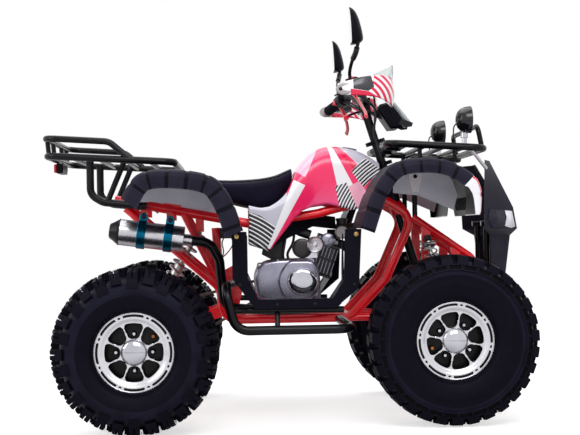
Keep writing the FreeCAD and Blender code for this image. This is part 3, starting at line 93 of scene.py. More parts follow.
# %% [markdown]
# Shapes here are surfaces worked out with numpy. A surface is a grid of points, rows along one parameter and
# columns along the other, and neighbouring points make its faces. A small Shape holds points and faces, so
# that several surfaces can be moved, copied and put together before they become one mesh.


# %% Surfaces as grids
class Shape:
    """Points (n, 3) and faces as lists of point numbers, with one finish number for each face."""

    def __init__(self, points, faces, finish=0):
        self.points = np.asarray(points, float).reshape(-1, 3)
        self.faces = [list(map(int, face)) for face in faces]
        self.finish = [finish] * len(self.faces) if isinstance(finish, int) else list(finish)

    def moved(self, matrix):
        """Every point turned and shifted by a 4 by 4 matrix; a mirror matrix also turns the faces over."""
        matrix = np.array(matrix, float)
        points = self.points @ matrix[:3, :3].T + matrix[:3, 3]
        flip = np.linalg.det(matrix[:3, :3]) < 0
        faces = [face[::-1] for face in self.faces] if flip else self.faces
        return Shape(points, faces, self.finish)

    def painted(self, finish):
        """The same faces with other finish numbers."""
        return Shape(self.points, self.faces, finish)


def together(shapes):
    """One Shape that holds all the given ones."""
    points, faces, finish, base = [], [], [], 0
    for shape in shapes:
        points.append(shape.points)
        faces += [[index + base for index in face] for face in shape.faces]
        finish += shape.finish
        base += len(shape.points)
    return Shape(np.concatenate(points), faces, finish)


def grid_faces(rows, columns, close_rows=False, close_columns=False):
    """Quads between neighbouring grid points; the last row or column is joined to the first where asked."""
    row = np.arange(rows if close_rows else rows - 1)[:, None]
    column = np.arange(columns if close_columns else columns - 1)[None, :]
    next_row, next_column = (row + 1) % rows, (column + 1) % columns
    quads = [row * columns + column, next_row * columns + column,
             next_row * columns + next_column, row * columns + next_column]
    spread = np.stack([np.broadcast_to(quad, (row.size, column.size)) for quad in quads], axis=-1)
    return spread.reshape(-1, 4).tolist()


def grid_shape(points, close_rows=False, close_columns=False, caps=False, finish=0):
    """Shape from a (rows, columns, 3) array; caps closes the first and last rows with one face each."""
    rows, columns = points.shape[:2]
    faces = grid_faces(rows, columns, close_rows, close_columns)
    if caps:
        faces.append(list(range(columns))[::-1])
        faces.append(list(range((rows - 1) * columns, rows * columns)))
    return Shape(points, faces, finish)


print("quads of a 3 by 4 grid:", len(grid_faces(3, 4)))

# %% [markdown]
# Wheels, caps and cans are turned parts: a profile is swept round an axle, as on a lathe. Here the sweep is
# one array, angles down the rows and the profile along the columns.


# %% Turned shapes
def points_of(x, y, z):
    """Array of points from coordinates that are spread over one another's rows and columns."""
    return np.stack(np.broadcast_arrays(x, y, z), axis=-1)


def turned(profile, sides, finish=0):
    """Surface of revolution about Y: each profile pair (y, r) becomes (r cos a, y, r sin a)."""
    profile = np.array(profile, float)
    y, r = profile[:, 0][None, :], profile[:, 1][None, :]
    a = (2 * math.pi * np.arange(sides) / sides)[:, None]
    return grid_shape(points_of(r * np.cos(a), y, r * np.sin(a)), close_rows=True, finish=finish)


print("points of a 12-sided disc:", len(turned([(0, 0), (0, 1)], 12).points))

# %% [markdown]
# Tubes, hoses and levers follow lines. A smooth line goes through a few chosen points, and an outline is
# carried along it with a frame that turns no more than the line does, so the outline never twists.


# %% Lines and bars
def smooth_line(knots, count, closed=False):
    """Curve through the knots (Catmull-Rom): each span blends its two ends and their neighbours' slopes."""
    knots = np.array(knots, float)
    total = len(knots) if closed else len(knots) - 1
    t = np.linspace(0, total, count, endpoint=not closed)
    span = np.minimum(t.astype(int), total - 1)
    u = (t - span)[:, None]

    def knot(offset):
        place = span + offset
        return knots[place % len(knots)] if closed else knots[np.clip(place, 0, len(knots) - 1)]

    a, b, c, d = knot(-1), knot(0), knot(1), knot(2)
    return 0.5 * (2 * b + (c - a) * u + (2 * a - 5 * b + 4 * c - d) * u ** 2
                  + (3 * b - a - 3 * c + d) * u ** 3)


STEEP = 0.95


def carried(outline, line, closed=False, widths=None, finish=0):
    """Outline pairs (side, lift) carried along a line, turning with it and never twisting about it. The lift
    starts upwards, or forwards where the line starts steep, and widths scale the outline on the way."""
    line = np.array(line, float)
    if closed:
        ahead = np.roll(line, -1, 0) - np.roll(line, 1, 0)
    else:
        ahead = np.gradient(line, axis=0)
    ahead /= np.linalg.norm(ahead, axis=1)[:, None]
    lift = np.empty_like(line)
    current = np.array((0, 0, 1.0))
    if abs(current @ ahead[0]) > STEEP:
        current = np.array((1.0, 0, 0))
    for i, direction in enumerate(ahead):
        current = current - direction * (current @ direction)
        current /= np.linalg.norm(current)
        lift[i] = current
    side = np.cross(ahead, lift)
    outline = np.array(outline, float)
    scale = np.ones(len(line)) if widths is None else np.array(widths, float)
    points = (line[:, None] + side[:, None] * outline[None, :, :1] * scale[:, None, None]
              + lift[:, None] * outline[None, :, 1:] * scale[:, None, None])
    return grid_shape(points, close_rows=closed, close_columns=True, caps=not closed, finish=finish)


def circle(radius, sides):
    """Outline of a round bar."""
    a = 2 * math.pi * np.arange(sides) / sides
    return np.stack([radius * np.cos(a), radius * np.sin(a)], axis=-1)


def round_bar(line, radius, sides, closed=False, finish=0):
    """Round bar along a line."""
    return carried(circle(radius, sides), line, closed, finish=finish)


print("points of a six-sided bar:", len(round_bar([(0, 0, 0), (1, 0, 0)], 0.1, 6).points))

# %% [markdown]
# Plates and brackets are cut from an outline, and their edges are drawn in a little, because a real edge is
# never sharp and that bevel catches the light. A bolt head is a turned shape with only six sides.

# %% Plates and bolts
SHARPEST_CORNER = 0.25


def wound(outline):
    """Outline with its corners in the turning sense that makes its area, the shoelace sum, positive."""
    outline = np.array(outline, float)
    ahead = np.roll(outline, -1, 0)
    area = np.sum(outline[:, 0] * ahead[:, 1] - ahead[:, 0] * outline[:, 1])
    return outline[::-1] if area < 0 else outline


def slab(outline, low, high, bevel, finish=0):
    """Plate with an XZ outline between two Y values, its edges drawn in by bevel on both faces."""
    outline = wound(outline)
    ahead = np.roll(outline, -1, 0) - outline
    ahead /= np.linalg.norm(ahead, axis=1)[:, None]
    inward = np.stack([-ahead[:, 1], ahead[:, 0]], axis=-1)
    corner = inward + np.roll(inward, 1, 0)
    corner /= np.maximum(np.sum(corner * inward, axis=1), SHARPEST_CORNER)[:, None]
    levels = [(low, bevel), (low + bevel, 0), (high - bevel, 0), (high, bevel)]
    rings = [np.insert(outline + corner * inset, 1, y, axis=1) for y, inset in levels]
    return grid_shape(np.stack(rings), close_columns=True, caps=True, finish=finish)


def hex_bolt(radius, height, finish):
    """Bolt head standing along +Y from the origin: six flats with a chamfered top and a washer under it."""
    profile = [(0, 0), (0, radius * 1.35), (height * 0.18, radius * 1.35), (height * 0.18, radius),
               (height * 0.85, radius), (height, radius * 0.82), (height, 0)]
    return turned(profile, 6, finish=finish)


print("points of a bolt head:", len(hex_bolt(5 * MM, 4 * MM, 0).points))

# %% [markdown]
# A shape is drawn at the origin and then put in its place by a matrix. The machine is the same on both sides
# in most places, so a piece drawn for the right side is mirrored to the left.


# %% Places and twins
def at(x, y, z):
    """Matrix that shifts the origin to the given place."""
    return Matrix.Translation((x, y, z))


def aimed(origin, direction):
    """Matrix that takes +Y to the direction and the origin to the given point."""
    turn = Vector((0, 1, 0)).rotation_difference(Vector(direction)).to_matrix().to_4x4()
    return Matrix.Translation(Vector(origin)) @ turn


RIGHT, UP = (0, -1, 0), (0, 0, 1)


def turned_at(profile_mm, sides, place, way=RIGHT, finish=0):
    """Turned shape with its profile in millimetres, standing from a place the given way."""
    return turned(mm(profile_mm), sides, finish).moved(aimed(place, way))


OTHER_SIDE = Matrix.Scale(-1, 4, (0, 1, 0))


def and_twin(shape):
    """The right-hand shape with its left-hand twin."""
    return together([shape, shape.moved(OTHER_SIDE)])

# %% [markdown]
# A finished piece is one mesh at the origin with its place in its points. It rides on the body that carries
# it, may stand for one or more solids, and is given its finishes as a list.

# %% Making a piece
MERGE_GAP = 2e-5


def make_piece(name, shape, finishes, body, stands_for=(), crease_deg=35):
    """Mesh object from a Shape, its seams merged and its faces turned outwards, riding on a body."""
    mesh = bpy.data.meshes.new(name)
    mesh.from_pydata(shape.points.tolist(), [], shape.faces)
    for finish in finishes:
        mesh.materials.append(finish)
    mesh.polygons.foreach_set("material_index", shape.finish)
    piece = bpy.data.objects.new(name, mesh)
    bpy.context.scene.collection.objects.link(piece)
    select_only(piece)
    bpy.ops.object.mode_set(mode="EDIT")
    bpy.ops.mesh.select_all(action="SELECT")
    bpy.ops.mesh.remove_doubles(threshold=MERGE_GAP)
    bpy.ops.mesh.normals_make_consistent(inside=False)
    bpy.ops.object.mode_set(mode="OBJECT")
    smooth_by_angle(piece, crease_deg)
    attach(piece, body)
    if stands_for:
        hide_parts(*stands_for)
    return piece


def select_only(piece):
    """Make the piece the one selected and active object."""
    bpy.ops.object.select_all(action="DESELECT")
    piece.select_set(True)
    bpy.context.view_layer.objects.active = piece


def smooth_by_angle(piece, degrees):
    """Shade smooth, but keep an edge sharp where its faces meet at more than the given angle."""
    select_only(piece)
    bpy.ops.object.shade_smooth_by_angle(angle=math.radians(degrees))


def give_wall(piece, thickness, offset):
    """Give a sheet one thickness: offset -1 grows it inwards, 1 outwards and 0 both ways."""
    wall = piece.modifiers.new("moulded wall", "SOLIDIFY")
    wall.thickness = thickness
    wall.offset = offset
    return wall

# %% [markdown]
# The finishes come next. Colours are written as the hex values that a paint chart would give, and one
# function turns them to the linear numbers that the shader wants. Another adds one node to a material with
# its settings and its links.


# %% Colour and node helpers
def hex_colour(text):
    """sRGB hex to linear RGBA: each channel is undone from the display curve."""
    values = [int(text[i:i + 2], 16) / 255 for i in (1, 3, 5)]
    return tuple(v / 12.92 if v <= 0.04045 else ((v + 0.055) / 1.055) ** 2.4 for v in values) + (1.0,)


def add_node(tree, kind, settings=None, inputs=None, links=None):
    """One node with its settings, its socket values and its links, given as socket: (node, output)."""
    node = tree.nodes.new(kind)
    for key, value in (settings or {}).items():
        setattr(node, key, value)
    for key, value in (inputs or {}).items():
        node.inputs[key].default_value = value
    for key, (other, output) in (links or {}).items():
        tree.links.new(other.outputs[output], node.inputs[key])
    return node


def new_finish(name, shader_values):
    """Material with a Principled shader set to the given socket values."""
    finish = bpy.data.materials.new(name)
    finish.use_nodes = True
    tree = finish.node_tree
    tree.nodes.clear()
    shader = add_node(tree, "ShaderNodeBsdfPrincipled", inputs=shader_values)
    add_node(tree, "ShaderNodeOutputMaterial", links={"Surface": (shader, "BSDF")})
    return finish, tree, shader


print("white as linear:", hex_colour("#ffffff"))

# %% [markdown]
# Nearly every surface here has a fine grain and wide soft patches where it is dustier or more worn. Both are
# sized in millimetres from the part's own Object coordinates, so they stay put when the machine is posed.
# Hard corners of the black bars and the dark arches are paler, partly rubbed and partly a painted edge
# highlight.

# %% Grained and worn finishes
PATCH_FROM, PATCH_FULL, GRAIN_RISE = 0.35, 0.65, 0.3


def grained(name, colour, shade, grain_mm, roughness, spread, bump, patch_mm=60, **shader_values):
    """Solid-coloured finish: a fine grain lifts the surface, wide soft patches shift its colour and gloss."""
    values = {"Base Color": hex_colour(colour), "Roughness": roughness}
    values.update(shader_values)
    finish, tree, shader = new_finish(name, values)
    where = add_node(tree, "ShaderNodeTexCoord")
    grain = add_node(tree, "ShaderNodeTexNoise", inputs={"Scale": 1 / (grain_mm * MM), "Detail": 3.0},
                     links={"Vector": (where, "Object")})
    patches = add_node(tree, "ShaderNodeTexNoise", inputs={"Scale": 1 / (patch_mm * MM), "Detail": 4.0},
                       links={"Vector": (where, "Object")})
    tint = add_node(tree, "ShaderNodeValToRGB", links={"Fac": (patches, "Fac")})
    tint.color_ramp.elements[0].position = PATCH_FROM
    tint.color_ramp.elements[0].color = hex_colour(shade)
    tint.color_ramp.elements[1].position = PATCH_FULL
    tint.color_ramp.elements[1].color = hex_colour(colour)
    gloss = add_node(tree, "ShaderNodeMapRange",
                     inputs={"To Min": max(0.02, roughness - spread), "To Max": min(1.0, roughness + spread)},
                     links={"Value": (grain, "Fac")})
    lift = add_node(tree, "ShaderNodeBump",
                    inputs={"Strength": bump, "Distance": grain_mm * MM * GRAIN_RISE},
                    links={"Height": (grain, "Fac")})
    tree.links.new(tint.outputs["Color"], shader.inputs["Base Color"])
    tree.links.new(gloss.outputs["Result"], shader.inputs["Roughness"])
    tree.links.new(lift.outputs["Normal"], shader.inputs["Normal"])
    return finish


EDGE_PATCH = 9 * MM
POINTED_FROM, POINTED_FULL = 0.53, 0.6


def edge_wear_and_highlight(finish, edge_pale_colour, share=0.5):
    """Paler edges, partly wear and partly a painted highlight: pointiness finds the edges and a noise breaks
    the line up.
    """
    tree = finish.node_tree
    shader = next(n for n in tree.nodes if n.type == "BSDF_PRINCIPLED")
    source = shader.inputs["Base Color"].links[0].from_socket
    shape = add_node(tree, "ShaderNodeNewGeometry")
    edge = add_node(tree, "ShaderNodeMapRange", inputs={"From Min": POINTED_FROM, "From Max": POINTED_FULL},
                    links={"Value": (shape, "Pointiness")})
    where = add_node(tree, "ShaderNodeTexCoord")
    spots = add_node(tree, "ShaderNodeTexNoise", inputs={"Scale": 1 / EDGE_PATCH, "Detail": 5.0},
                     links={"Vector": (where, "Object")})
    broken = add_node(tree, "ShaderNodeMath", {"operation": "MULTIPLY"},
                      links={0: (edge, "Result"), 1: (spots, "Fac")})
    amount = add_node(tree, "ShaderNodeMath", {"operation": "MULTIPLY"}, inputs={1: share},
                      links={0: (broken, "Value")})
    mix = add_node(tree, "ShaderNodeMix", {"data_type": "RGBA"}, links={"Factor": (amount, "Value")})
    mix.inputs["B"].default_value = hex_colour(edge_pale_colour)
    tree.links.new(source, mix.inputs["A"])
    tree.links.new(mix.outputs["Result"], shader.inputs["Base Color"])
    return finish

# %% [markdown]
# Painted and plated steel. The frame is red powder coat, baked paint with a faint orange-peel surface. The
# racks and bars are satin black powder coat. Zinc-plated, chromed and bare steels share one recipe and differ
# in how bright and how rough they are. A metal keeps the shader's own IOR.

# %% Steel finishes
red_frame = grained("red_powder_coat", "#ff0820", "#ec041c", 2.2, 0.28, 0.05, 0.10, **{"Coat Weight": 0.25})
black_steel = edge_wear_and_highlight(grained("black_powder_coat", "#0c0c11", "#08080c", 1.4, 0.26, 0.05, 0.12,
                                 **{"Specular IOR Level": 0.2}), "#3b3b42")
shock_steel = grained("bright_spring_steel", "#c9c8cf", "#aeadb6", 1.0, 0.24, 0.08, 0.10, Metallic=1.0)
plated_steel = grained("zinc_plated_steel", "#c8c6c4", "#a5a29c", 1.2, 0.30, 0.10, 0.12, Metallic=1.0)
chain_steel = grained("oiled_chain_steel", "#8b8580", "#4f4a46", 1.0, 0.38, 0.12, 0.20, Metallic=1.0)
chrome_trim = grained("chrome_plate", "#cfcfd6", "#bdbdc6", 3.0, 0.07, 0.03, 0.02, Metallic=1.0)
polished_steel = grained("polished_stainless_tube", "#dcdae0", "#c4c1ca", 2.0, 0.27, 0.07, 0.06, Metallic=1.0)

# %% [markdown]
# Cast and turned aluminium. The engine's cases are sand-grained castings. The wheel faces and the clutch
# cover are turned and polished, which leaves very fine rings round the axle: the rings come from the distance
# to the axle line, so the pattern is centred on each wheel with a Mapping node.

# %% Aluminium finishes
engine_casting = grained("die_cast_aluminium", "#9695a4", "#7e7d8d", 0.9, 0.46, 0.10, 0.35, Metallic=0.85)
bright_casting = grained("polished_clutch_cover", "#a9a8b9", "#9291a3", 1.4, 0.27, 0.06, 0.08, Metallic=0.9)
black_casting = grained("black_painted_casting", "#1a191d", "#111014", 0.9, 0.42, 0.08, 0.30)
brown_enamel = grained("brown_black_enamel", "#2a2022", "#1d1618", 1.2, 0.30, 0.06, 0.10)
end_casting = grained("tumbled_die_casting", "#aaa5a6", "#928d90", 0.9, 0.40, 0.08, 0.20, Metallic=0.6)
gloss_black = grained("gloss_black_enamel", "#0d0d12", "#09090d", 1.4, 0.16, 0.05, 0.05)
brass_plate = grained("yellow_zinc_plate", "#b99a63", "#93784a", 1.0, 0.32, 0.08, 0.12, Metallic=1.0)
blue_anodised = grained("blue_anodised_aluminium", "#006d90", "#005874", 1.5, 0.25, 0.05, 0.06, Metallic=0.9)


RING_PITCH, RING_RISE = 1.2 * MM, 0.1 * MM


def turned_face(name, centre_x, centre_z):
    """Turned aluminium: rings 1.2 mm apart about an axle along Y roughen the gloss and lift the surface."""
    finish, tree, shader = new_finish(name, {"Base Color": hex_colour("#d9d8de"), "Metallic": 1.0,
                                             "Roughness": 0.2})
    where = add_node(tree, "ShaderNodeTexCoord")
    centred = add_node(tree, "ShaderNodeMapping", inputs={"Location": (-centre_x, 0, -centre_z)},
                       links={"Vector": (where, "Object")})
    flat = add_node(tree, "ShaderNodeVectorMath", {"operation": "MULTIPLY"}, links={0: (centred, "Vector")})
    flat.inputs[1].default_value = (1, 0, 1)
    reach = add_node(tree, "ShaderNodeVectorMath", {"operation": "LENGTH"}, links={0: (flat, "Vector")})
    rings = add_node(tree, "ShaderNodeMath", {"operation": "MULTIPLY"}, inputs={1: 2 * math.pi / RING_PITCH},
                     links={0: (reach, "Value")})
    wave = add_node(tree, "ShaderNodeMath", {"operation": "SINE"}, links={0: (rings, "Value")})
    dust = add_node(tree, "ShaderNodeTexNoise", inputs={"Scale": 1 / (25 * MM), "Detail": 4.0},
                    links={"Vector": (where, "Object")})
    gloss = add_node(tree, "ShaderNodeMapRange", inputs={"To Min": 0.14, "To Max": 0.30},
                     links={"Value": (dust, "Fac")})
    lift = add_node(tree, "ShaderNodeBump", inputs={"Strength": 0.10, "Distance": RING_RISE},
                    links={"Height": (wave, "Value")})
    tree.links.new(gloss.outputs["Result"], shader.inputs["Roughness"])
    tree.links.new(lift.outputs["Normal"], shader.inputs["Normal"])
    return finish

# %% [markdown]
# Mouldings, rubber and glass. Fenders and guards are injection-moulded with a leather-like grain that softens
# the light. The tyres are black rubber, rougher where they touch the ground and painted greyer there, a
# painted sheen. The seat is grained vinyl.

# %% Plastic, rubber, vinyl and glass finishes
# Painted light: these blacks reflect little, and their reflections are tinted blue to stand in for bluish
# shade.
DIM_BLUE_REFLECTION = {"Specular IOR Level": 0.09, "Specular Tint": (0.72, 0.70, 1.0, 1.0)}
charcoal_plastic = edge_wear_and_highlight(grained("charcoal_polypropylene", "#24222e", "#1d1b26", 1.3, 0.44, 0.07, 0.22,
                                      **DIM_BLUE_REFLECTION), "#5a5964", 0.4)
guard_plastic = grained("dark_guard_polypropylene", "#0c0b14", "#08070e", 1.3, 0.42, 0.07, 0.20, **DIM_BLUE_REFLECTION)
black_plastic = grained("black_polypropylene", "#0d0d11", "#09090c", 1.2, 0.38, 0.07, 0.20, **DIM_BLUE_REFLECTION)
grey_plastic = grained("grey_polypropylene", "#dddbe8", "#cfcddb", 1.5, 0.45, 0.06, 0.15)
light_grey_plastic = grained("light_grey_polypropylene", "#fbf4fb", "#efe8f0", 1.5, 0.42, 0.06, 0.12)
rubber_grip = grained("black_grip_rubber", "#121214", "#1b1b1e", 0.8, 0.68, 0.08, 0.3, **DIM_BLUE_REFLECTION)
tyre_rubber = grained("black_tyre_rubber", "#0a0912", "#07060d", 1.6, 0.50, 0.08, 0.20, patch_mm=25,
                      **DIM_BLUE_REFLECTION)
seat_vinyl = grained("black_seat_vinyl", "#131022", "#0e0c1a", 1.1, 0.48, 0.06, 0.45, **DIM_BLUE_REFLECTION)
red_lever = grained("red_enamel", "#e3062c", "#c70424", 1.5, 0.22, 0.04, 0.05, **{"Coat Weight": 0.5})
lamp_glass = grained("lamp_polycarbonate", "#d9dee0", "#c6ccd0", 4.0, 0.08, 0.03, 0.03,
                     **{"Transmission Weight": 0.55, "IOR": 1.58})
red_lens = grained("red_acrylic_lens", "#c40012", "#a2000f", 3.0, 0.12, 0.04, 0.10,
                   **{"Transmission Weight": 0.25, "IOR": 1.49})
clear_plastic = grained("clear_polycarbonate", "#e9f0ef", "#dfe8e7", 5.0, 0.06, 0.02, 0.02,
                        **{"Transmission Weight": 0.85, "IOR": 1.58})
mirror_glass = grained("mirror_glass", "#eef0f2", "#e2e5e8", 9.0, 0.03, 0.01, 0.01, Metallic=1.0)
black_hose = grained("black_cable_jacket", "#101013", "#17171a", 0.9, 0.5, 0.05, 0.15)

# %% [markdown]
# Panels. The flat gloss mouldings each have one plain film: white and crimson on the arches' front ends and
# the nose, and a bright one for the bumper's inserts. The body cover's printed film is worked out with the
# cover.


# %% Panel finishes
def gloss_panel(name, colour, shade):
    """Printed film under clear gloss: almost flat, with a thin bright coat."""
    return grained(name, colour, shade, 3.0, 0.22, 0.04, 0.03, patch_mm=90, **{"Coat Weight": 0.6,
                                                                              "Coat Roughness": 0.05})


insert_film = gloss_panel("bright_insert_film", "#e9e7f0", "#dddbe6")
panel_pink = gloss_panel("hot_pink_film", "#f2386e", "#ea2f63")
panel_red = gloss_panel("crimson_film", "#dc1440", "#d01039")
panel_white = gloss_panel("white_film", "#f1eff4", "#eae8ee")

FINISH_OF_SLOT = {
    "red_frame": red_frame, "black_steel": black_steel, "shock_steel": shock_steel,
    "plated_steel": plated_steel, "chain_steel": chain_steel, "polished_steel": polished_steel,
    "chrome_trim": chrome_trim, "engine_casting": engine_casting, "polished_aluminium": bright_casting,
    "blue_anodised": blue_anodised,
    "charcoal_plastic": charcoal_plastic, "black_plastic": black_plastic, "grey_plastic": grey_plastic,
    "body_panel": panel_pink, "red_lever": red_lever, "red_lens": red_lens, "clear_plastic": clear_plastic,
    "lamp_glass": lamp_glass, "mirror_glass": mirror_glass, "rubber_grip": rubber_grip,
    "seat_vinyl": seat_vinyl, "tyre": tyre_rubber,
}
slot_of_node = {part["node"]: part["material_slot"] for part in frame["record"]["subparts"]}
for node_name, solid in nodes.items():
    for index in range(len(solid.material_slots)):
        solid.material_slots[index].material = FINISH_OF_SLOT[slot_of_node[node_name]]
nodes["footwell_guards"].material_slots[0].material = guard_plastic
nodes["exhaust_pipe"].material_slots[0].material = black_steel
print("finishes:", len(bpy.data.materials))

# %% [markdown]
# ## Tyres
# A tyre is a carcass turned about the axle with rows of rubber blocks. The mould leaves thin rings on its
# sidewall, and the outer part of its skin is painted paler as a painted sheen.

# %% Carcass
# Painted sheen: a paler rubber for the tyres' outer skin stands in for the light on their shoulders.
sheen_rubber = grained("painted_sheen_tyre_rubber", "#100f19", "#171623", 3.0, 0.45, 0.1, 0.2, **DIM_BLUE_REFLECTION)
# Painted shade: near-black rubber for the pockets in the front tyres' plates, darker than the tyre where shade
# falls.
pocket_shade_rubber = grained("painted_pocket_shade_rubber", "#050508", "#08080c", 3.0, 0.8, 0.1, 0.1,
                        **{"Specular IOR Level": 0.1})
FRONT_X, FRONT_Y, FRONT_AXLE = mm([482.5, 378, 254])
REAR_X, REAR_Y, REAR_AXLE = mm([-457.5, 427.5, 245])
WHEELS = {"front_right": (FRONT_X, -FRONT_Y, FRONT_AXLE), "front_left": (FRONT_X, FRONT_Y, FRONT_AXLE),
          "rear_right": (REAR_X, -REAR_Y, REAR_AXLE), "rear_left": (REAR_X, REAR_Y, REAR_AXLE)}
TURN_STEPS = 120
TYRE_WALL, INNER_SHARE = 6 * MM, 0.93


def carcass(knots, rings, sheen_from):
    """Tyre body: a smooth closed section through (y, r) knots turned about the axle, with moulded rings.
    Beyond the radius sheen_from its skin is painted paler, a painted sheen."""
    line = smooth_line(knots, 72)
    ridge = np.zeros(len(line))
    for radius, height, half_width in rings:
        ridge += height * np.exp(-((line[:, 1] - radius) / half_width) ** 4)
    line[:, 0] += np.sign(line[:, 0]) * ridge
    back = line[::-1]
    inner = np.stack([back[:, 0] * INNER_SHARE, back[:, 1] - TYRE_WALL], axis=-1)
    inner[:, 1] = np.maximum(inner[:, 1], line[:, 1].min())
    section = np.concatenate([line, inner, line[:1]])
    middle = (section[1:, 1] + section[:-1, 1]) / 2
    # Faces of the outer skin beyond sheen_from take the paler rubber: painted sheen.
    in_sheen = (np.arange(len(middle)) < len(line)) & (middle > sheen_from)
    body = turned(section, TURN_STEPS)
    return body.painted(np.resize(in_sheen.astype(int), len(body.faces)).tolist())

# %% [markdown]
# One block is drawn once on a small grid and copied round the wheel, because hundreds of copies must stay
# light. A knob stands on a level base. A shoulder block wraps the shoulder, and the rear ones are cut into
# four lugs.

# %% Tread blocks
BLOCK_CHAMFER = 1.6 * MM


def knob(length, width, height, taper, sink, pocket=0.0):
    """Block on a level base: rings of four corners that shrink upwards to a chamfered top or a pocket."""
    levels = [(1 + taper, -sink), (1.0, height * 0.80), (0.92, height)]
    if pocket:
        levels += [(0.68, height), (0.60, height - pocket)]
    corners = np.array([(-1, -1), (1, -1), (1, 1), (-1, 1)]) / 2
    rings = []
    for share, level in levels:
        grow = (share - 1) * min(length, width)
        rings.append([(x * (length + grow), y * (width + grow), level) for x, y in corners])
    points = np.array(rings)
    faces = grid_faces(len(levels), 4, close_columns=True)
    faces.append([4 * (len(levels) - 1) + i for i in range(4)])
    return Shape(points, faces)


def shoulder_block(section, foot_length, tip_length, skew):
    """Block that wraps the shoulder. The section is its (y, r) corners: inner foot, outer foot, outer tip and
    inner tip. Its ends lean in from foot_length to tip_length, and skew shifts its inner end."""
    inner_foot, outer_foot, outer_tip, inner_tip = (np.array(corner, float) for corner in section)
    rows = []
    for share, inset in ((0.0, 0.0), (0.91, 0.0), (1.0, BLOCK_CHAMFER)):
        low = inner_foot + (inner_tip - inner_foot) * share
        high = outer_foot + (outer_tip - outer_foot) * share
        across = (high - low) / np.linalg.norm(high - low)
        low, high = low + across * inset, high - across * inset
        half = (foot_length + (tip_length - foot_length) * share) / 2 - inset
        rows.append([(skew - half, low[0], low[1]), (skew + half, low[0], low[1]),
                     (half, high[0], high[1]), (-half, high[0], high[1])])
    faces = grid_faces(3, 4, close_columns=True) + [[8, 9, 10, 11]]
    return Shape(np.array(rows), faces)


SPLIT_SHARE, GROOVE_SHARE = 0.58, 0.055
LUG_LENGTH, LUG_SHIFT = 0.43, 0.27


def sipe_cut(section, foot_length, tip_length, skew):
    """Rear block as the mould cuts it: a full foot, and above it four lugs with grooves both ways."""
    inner_foot, outer_foot, outer_tip, inner_tip = (np.array(corner, float) for corner in section)
    low = inner_foot + (inner_tip - inner_foot) * SPLIT_SHARE
    high = outer_foot + (outer_tip - outer_foot) * SPLIT_SHARE
    middle_length = foot_length + (tip_length - foot_length) * SPLIT_SHARE
    pieces = [shoulder_block([inner_foot, outer_foot, high, low], foot_length, middle_length, skew)]
    for start, end in ((0.0, 0.5 - GROOVE_SHARE), (0.5 + GROOVE_SHARE, 1.0)):
        lug = [low + (high - low) * start, low + (high - low) * end,
               inner_tip + (outer_tip - inner_tip) * end, inner_tip + (outer_tip - inner_tip) * start]
        half = shoulder_block(lug, middle_length * LUG_LENGTH, tip_length * LUG_LENGTH, 0.0)
        for way in (-1, 1):
            shift = skew * (1 - (start + end) / 2) + way * middle_length * LUG_SHIFT
            pieces.append(half.moved(at(shift, 0, -0.4 * MM)))
    return together(pieces)


def ring_of(block, count, turn):
    """Copies of a placed block, spun round the axle; turn is a share of one pitch."""
    return [block.moved(Matrix.Rotation(2 * math.pi * (i + turn) / count, 4, "Y")) for i in range(count)]


def laid(block, radius, y, tilt):
    """Level block tilted sideways and lifted to the top of the wheel."""
    return block.moved(at(0, y, radius) @ Matrix.Rotation(-tilt, 4, "X"))


def both_sides(block):
    """A block on the outer shoulder and its mirror image on the inner one."""
    return [block, block.moved(OTHER_SIDE)]

# %% [markdown]
# The mould's vents leave thin rubber hairs on a tyre that hasn't worn. Each is a spike with three sides, and
# seeded random numbers put it somewhere on the tread and lean it its own way.

# %% Vent hairs
HAIR_LEAN = 0.5
SHOULDER_DROP, SHOULDER_SHARE = 22 * MM, 0.55


def hairs(count, radius, y_reach, length, seed):
    """Vent hairs: thin three-sided spikes that stand out of the tread and lean a little, each its own way."""
    rng = np.random.default_rng(seed)
    spikes = []
    foot = mm([(0.9, 0, -4), (-0.5, 0.7, -4), (-0.5, -0.7, -4)])
    spike = Shape(np.vstack([foot, (0, 0, length)]), [(0, 1, 3), (1, 2, 3), (2, 0, 3), (2, 1, 0)])
    for _ in range(count):
        lean_y, lean_x = rng.uniform(-HAIR_LEAN, HAIR_LEAN), rng.uniform(-HAIR_LEAN, HAIR_LEAN)
        lean = Matrix.Rotation(lean_y, 4, "Y") @ Matrix.Rotation(lean_x, 4, "X")
        y = rng.uniform(-y_reach, y_reach)
        drop = SHOULDER_DROP * max(0.0, abs(y) / y_reach - SHOULDER_SHARE)
        spin = Matrix.Rotation(rng.uniform(0, 2 * math.pi), 4, "Y")
        spikes.append(spike.moved(spin @ at(0, y, radius - drop) @ lean))
    return spikes

# %% [markdown]
# The rear tyres are mud tyres. Their tall blocks wrap the shoulder with wide gaps between them that throw
# mud out.

# %% Rear tyres
REAR_PITCHES, BEAD_RIBS = 28, 110
BEAD_TILT = math.radians(68)
rear_section = mm([(-78, 101), (-84, 116), (-106, 126), (-118, 150), (-120, 176), (-114, 196), (-92, 211),
                   (-50, 218), (0, 220), (50, 218), (92, 211), (114, 196), (120, 176), (118, 150), (106, 126),
                   (84, 116), (78, 101)])
rear_body = carcass(rear_section, [(131 * MM, 1.2 * MM, 2 * MM), (163 * MM, 1.4 * MM, 1.5 * MM),
                                   (172 * MM, 0.9 * MM, 8 * MM)], 169 * MM)
long_block = sipe_cut(mm([(60, 210), (121, 187), (111, 233), (62, 243.5)]), 34 * MM, 29 * MM, 3 * MM)
short_block = sipe_cut(mm([(72, 210), (119, 202), (104, 236), (74, 242.5)]), 33 * MM, 28 * MM, -3 * MM)
middle_block = sipe_cut(mm([(8, 214), (47, 212), (45, 244.3), (10, 244.8)]), 30 * MM, 25 * MM, 12 * MM)
bead_rib = laid(knob(1.8 * MM, 9 * MM, 1.2 * MM, 0.1, 2 * MM), 122 * MM, 102 * MM, BEAD_TILT)
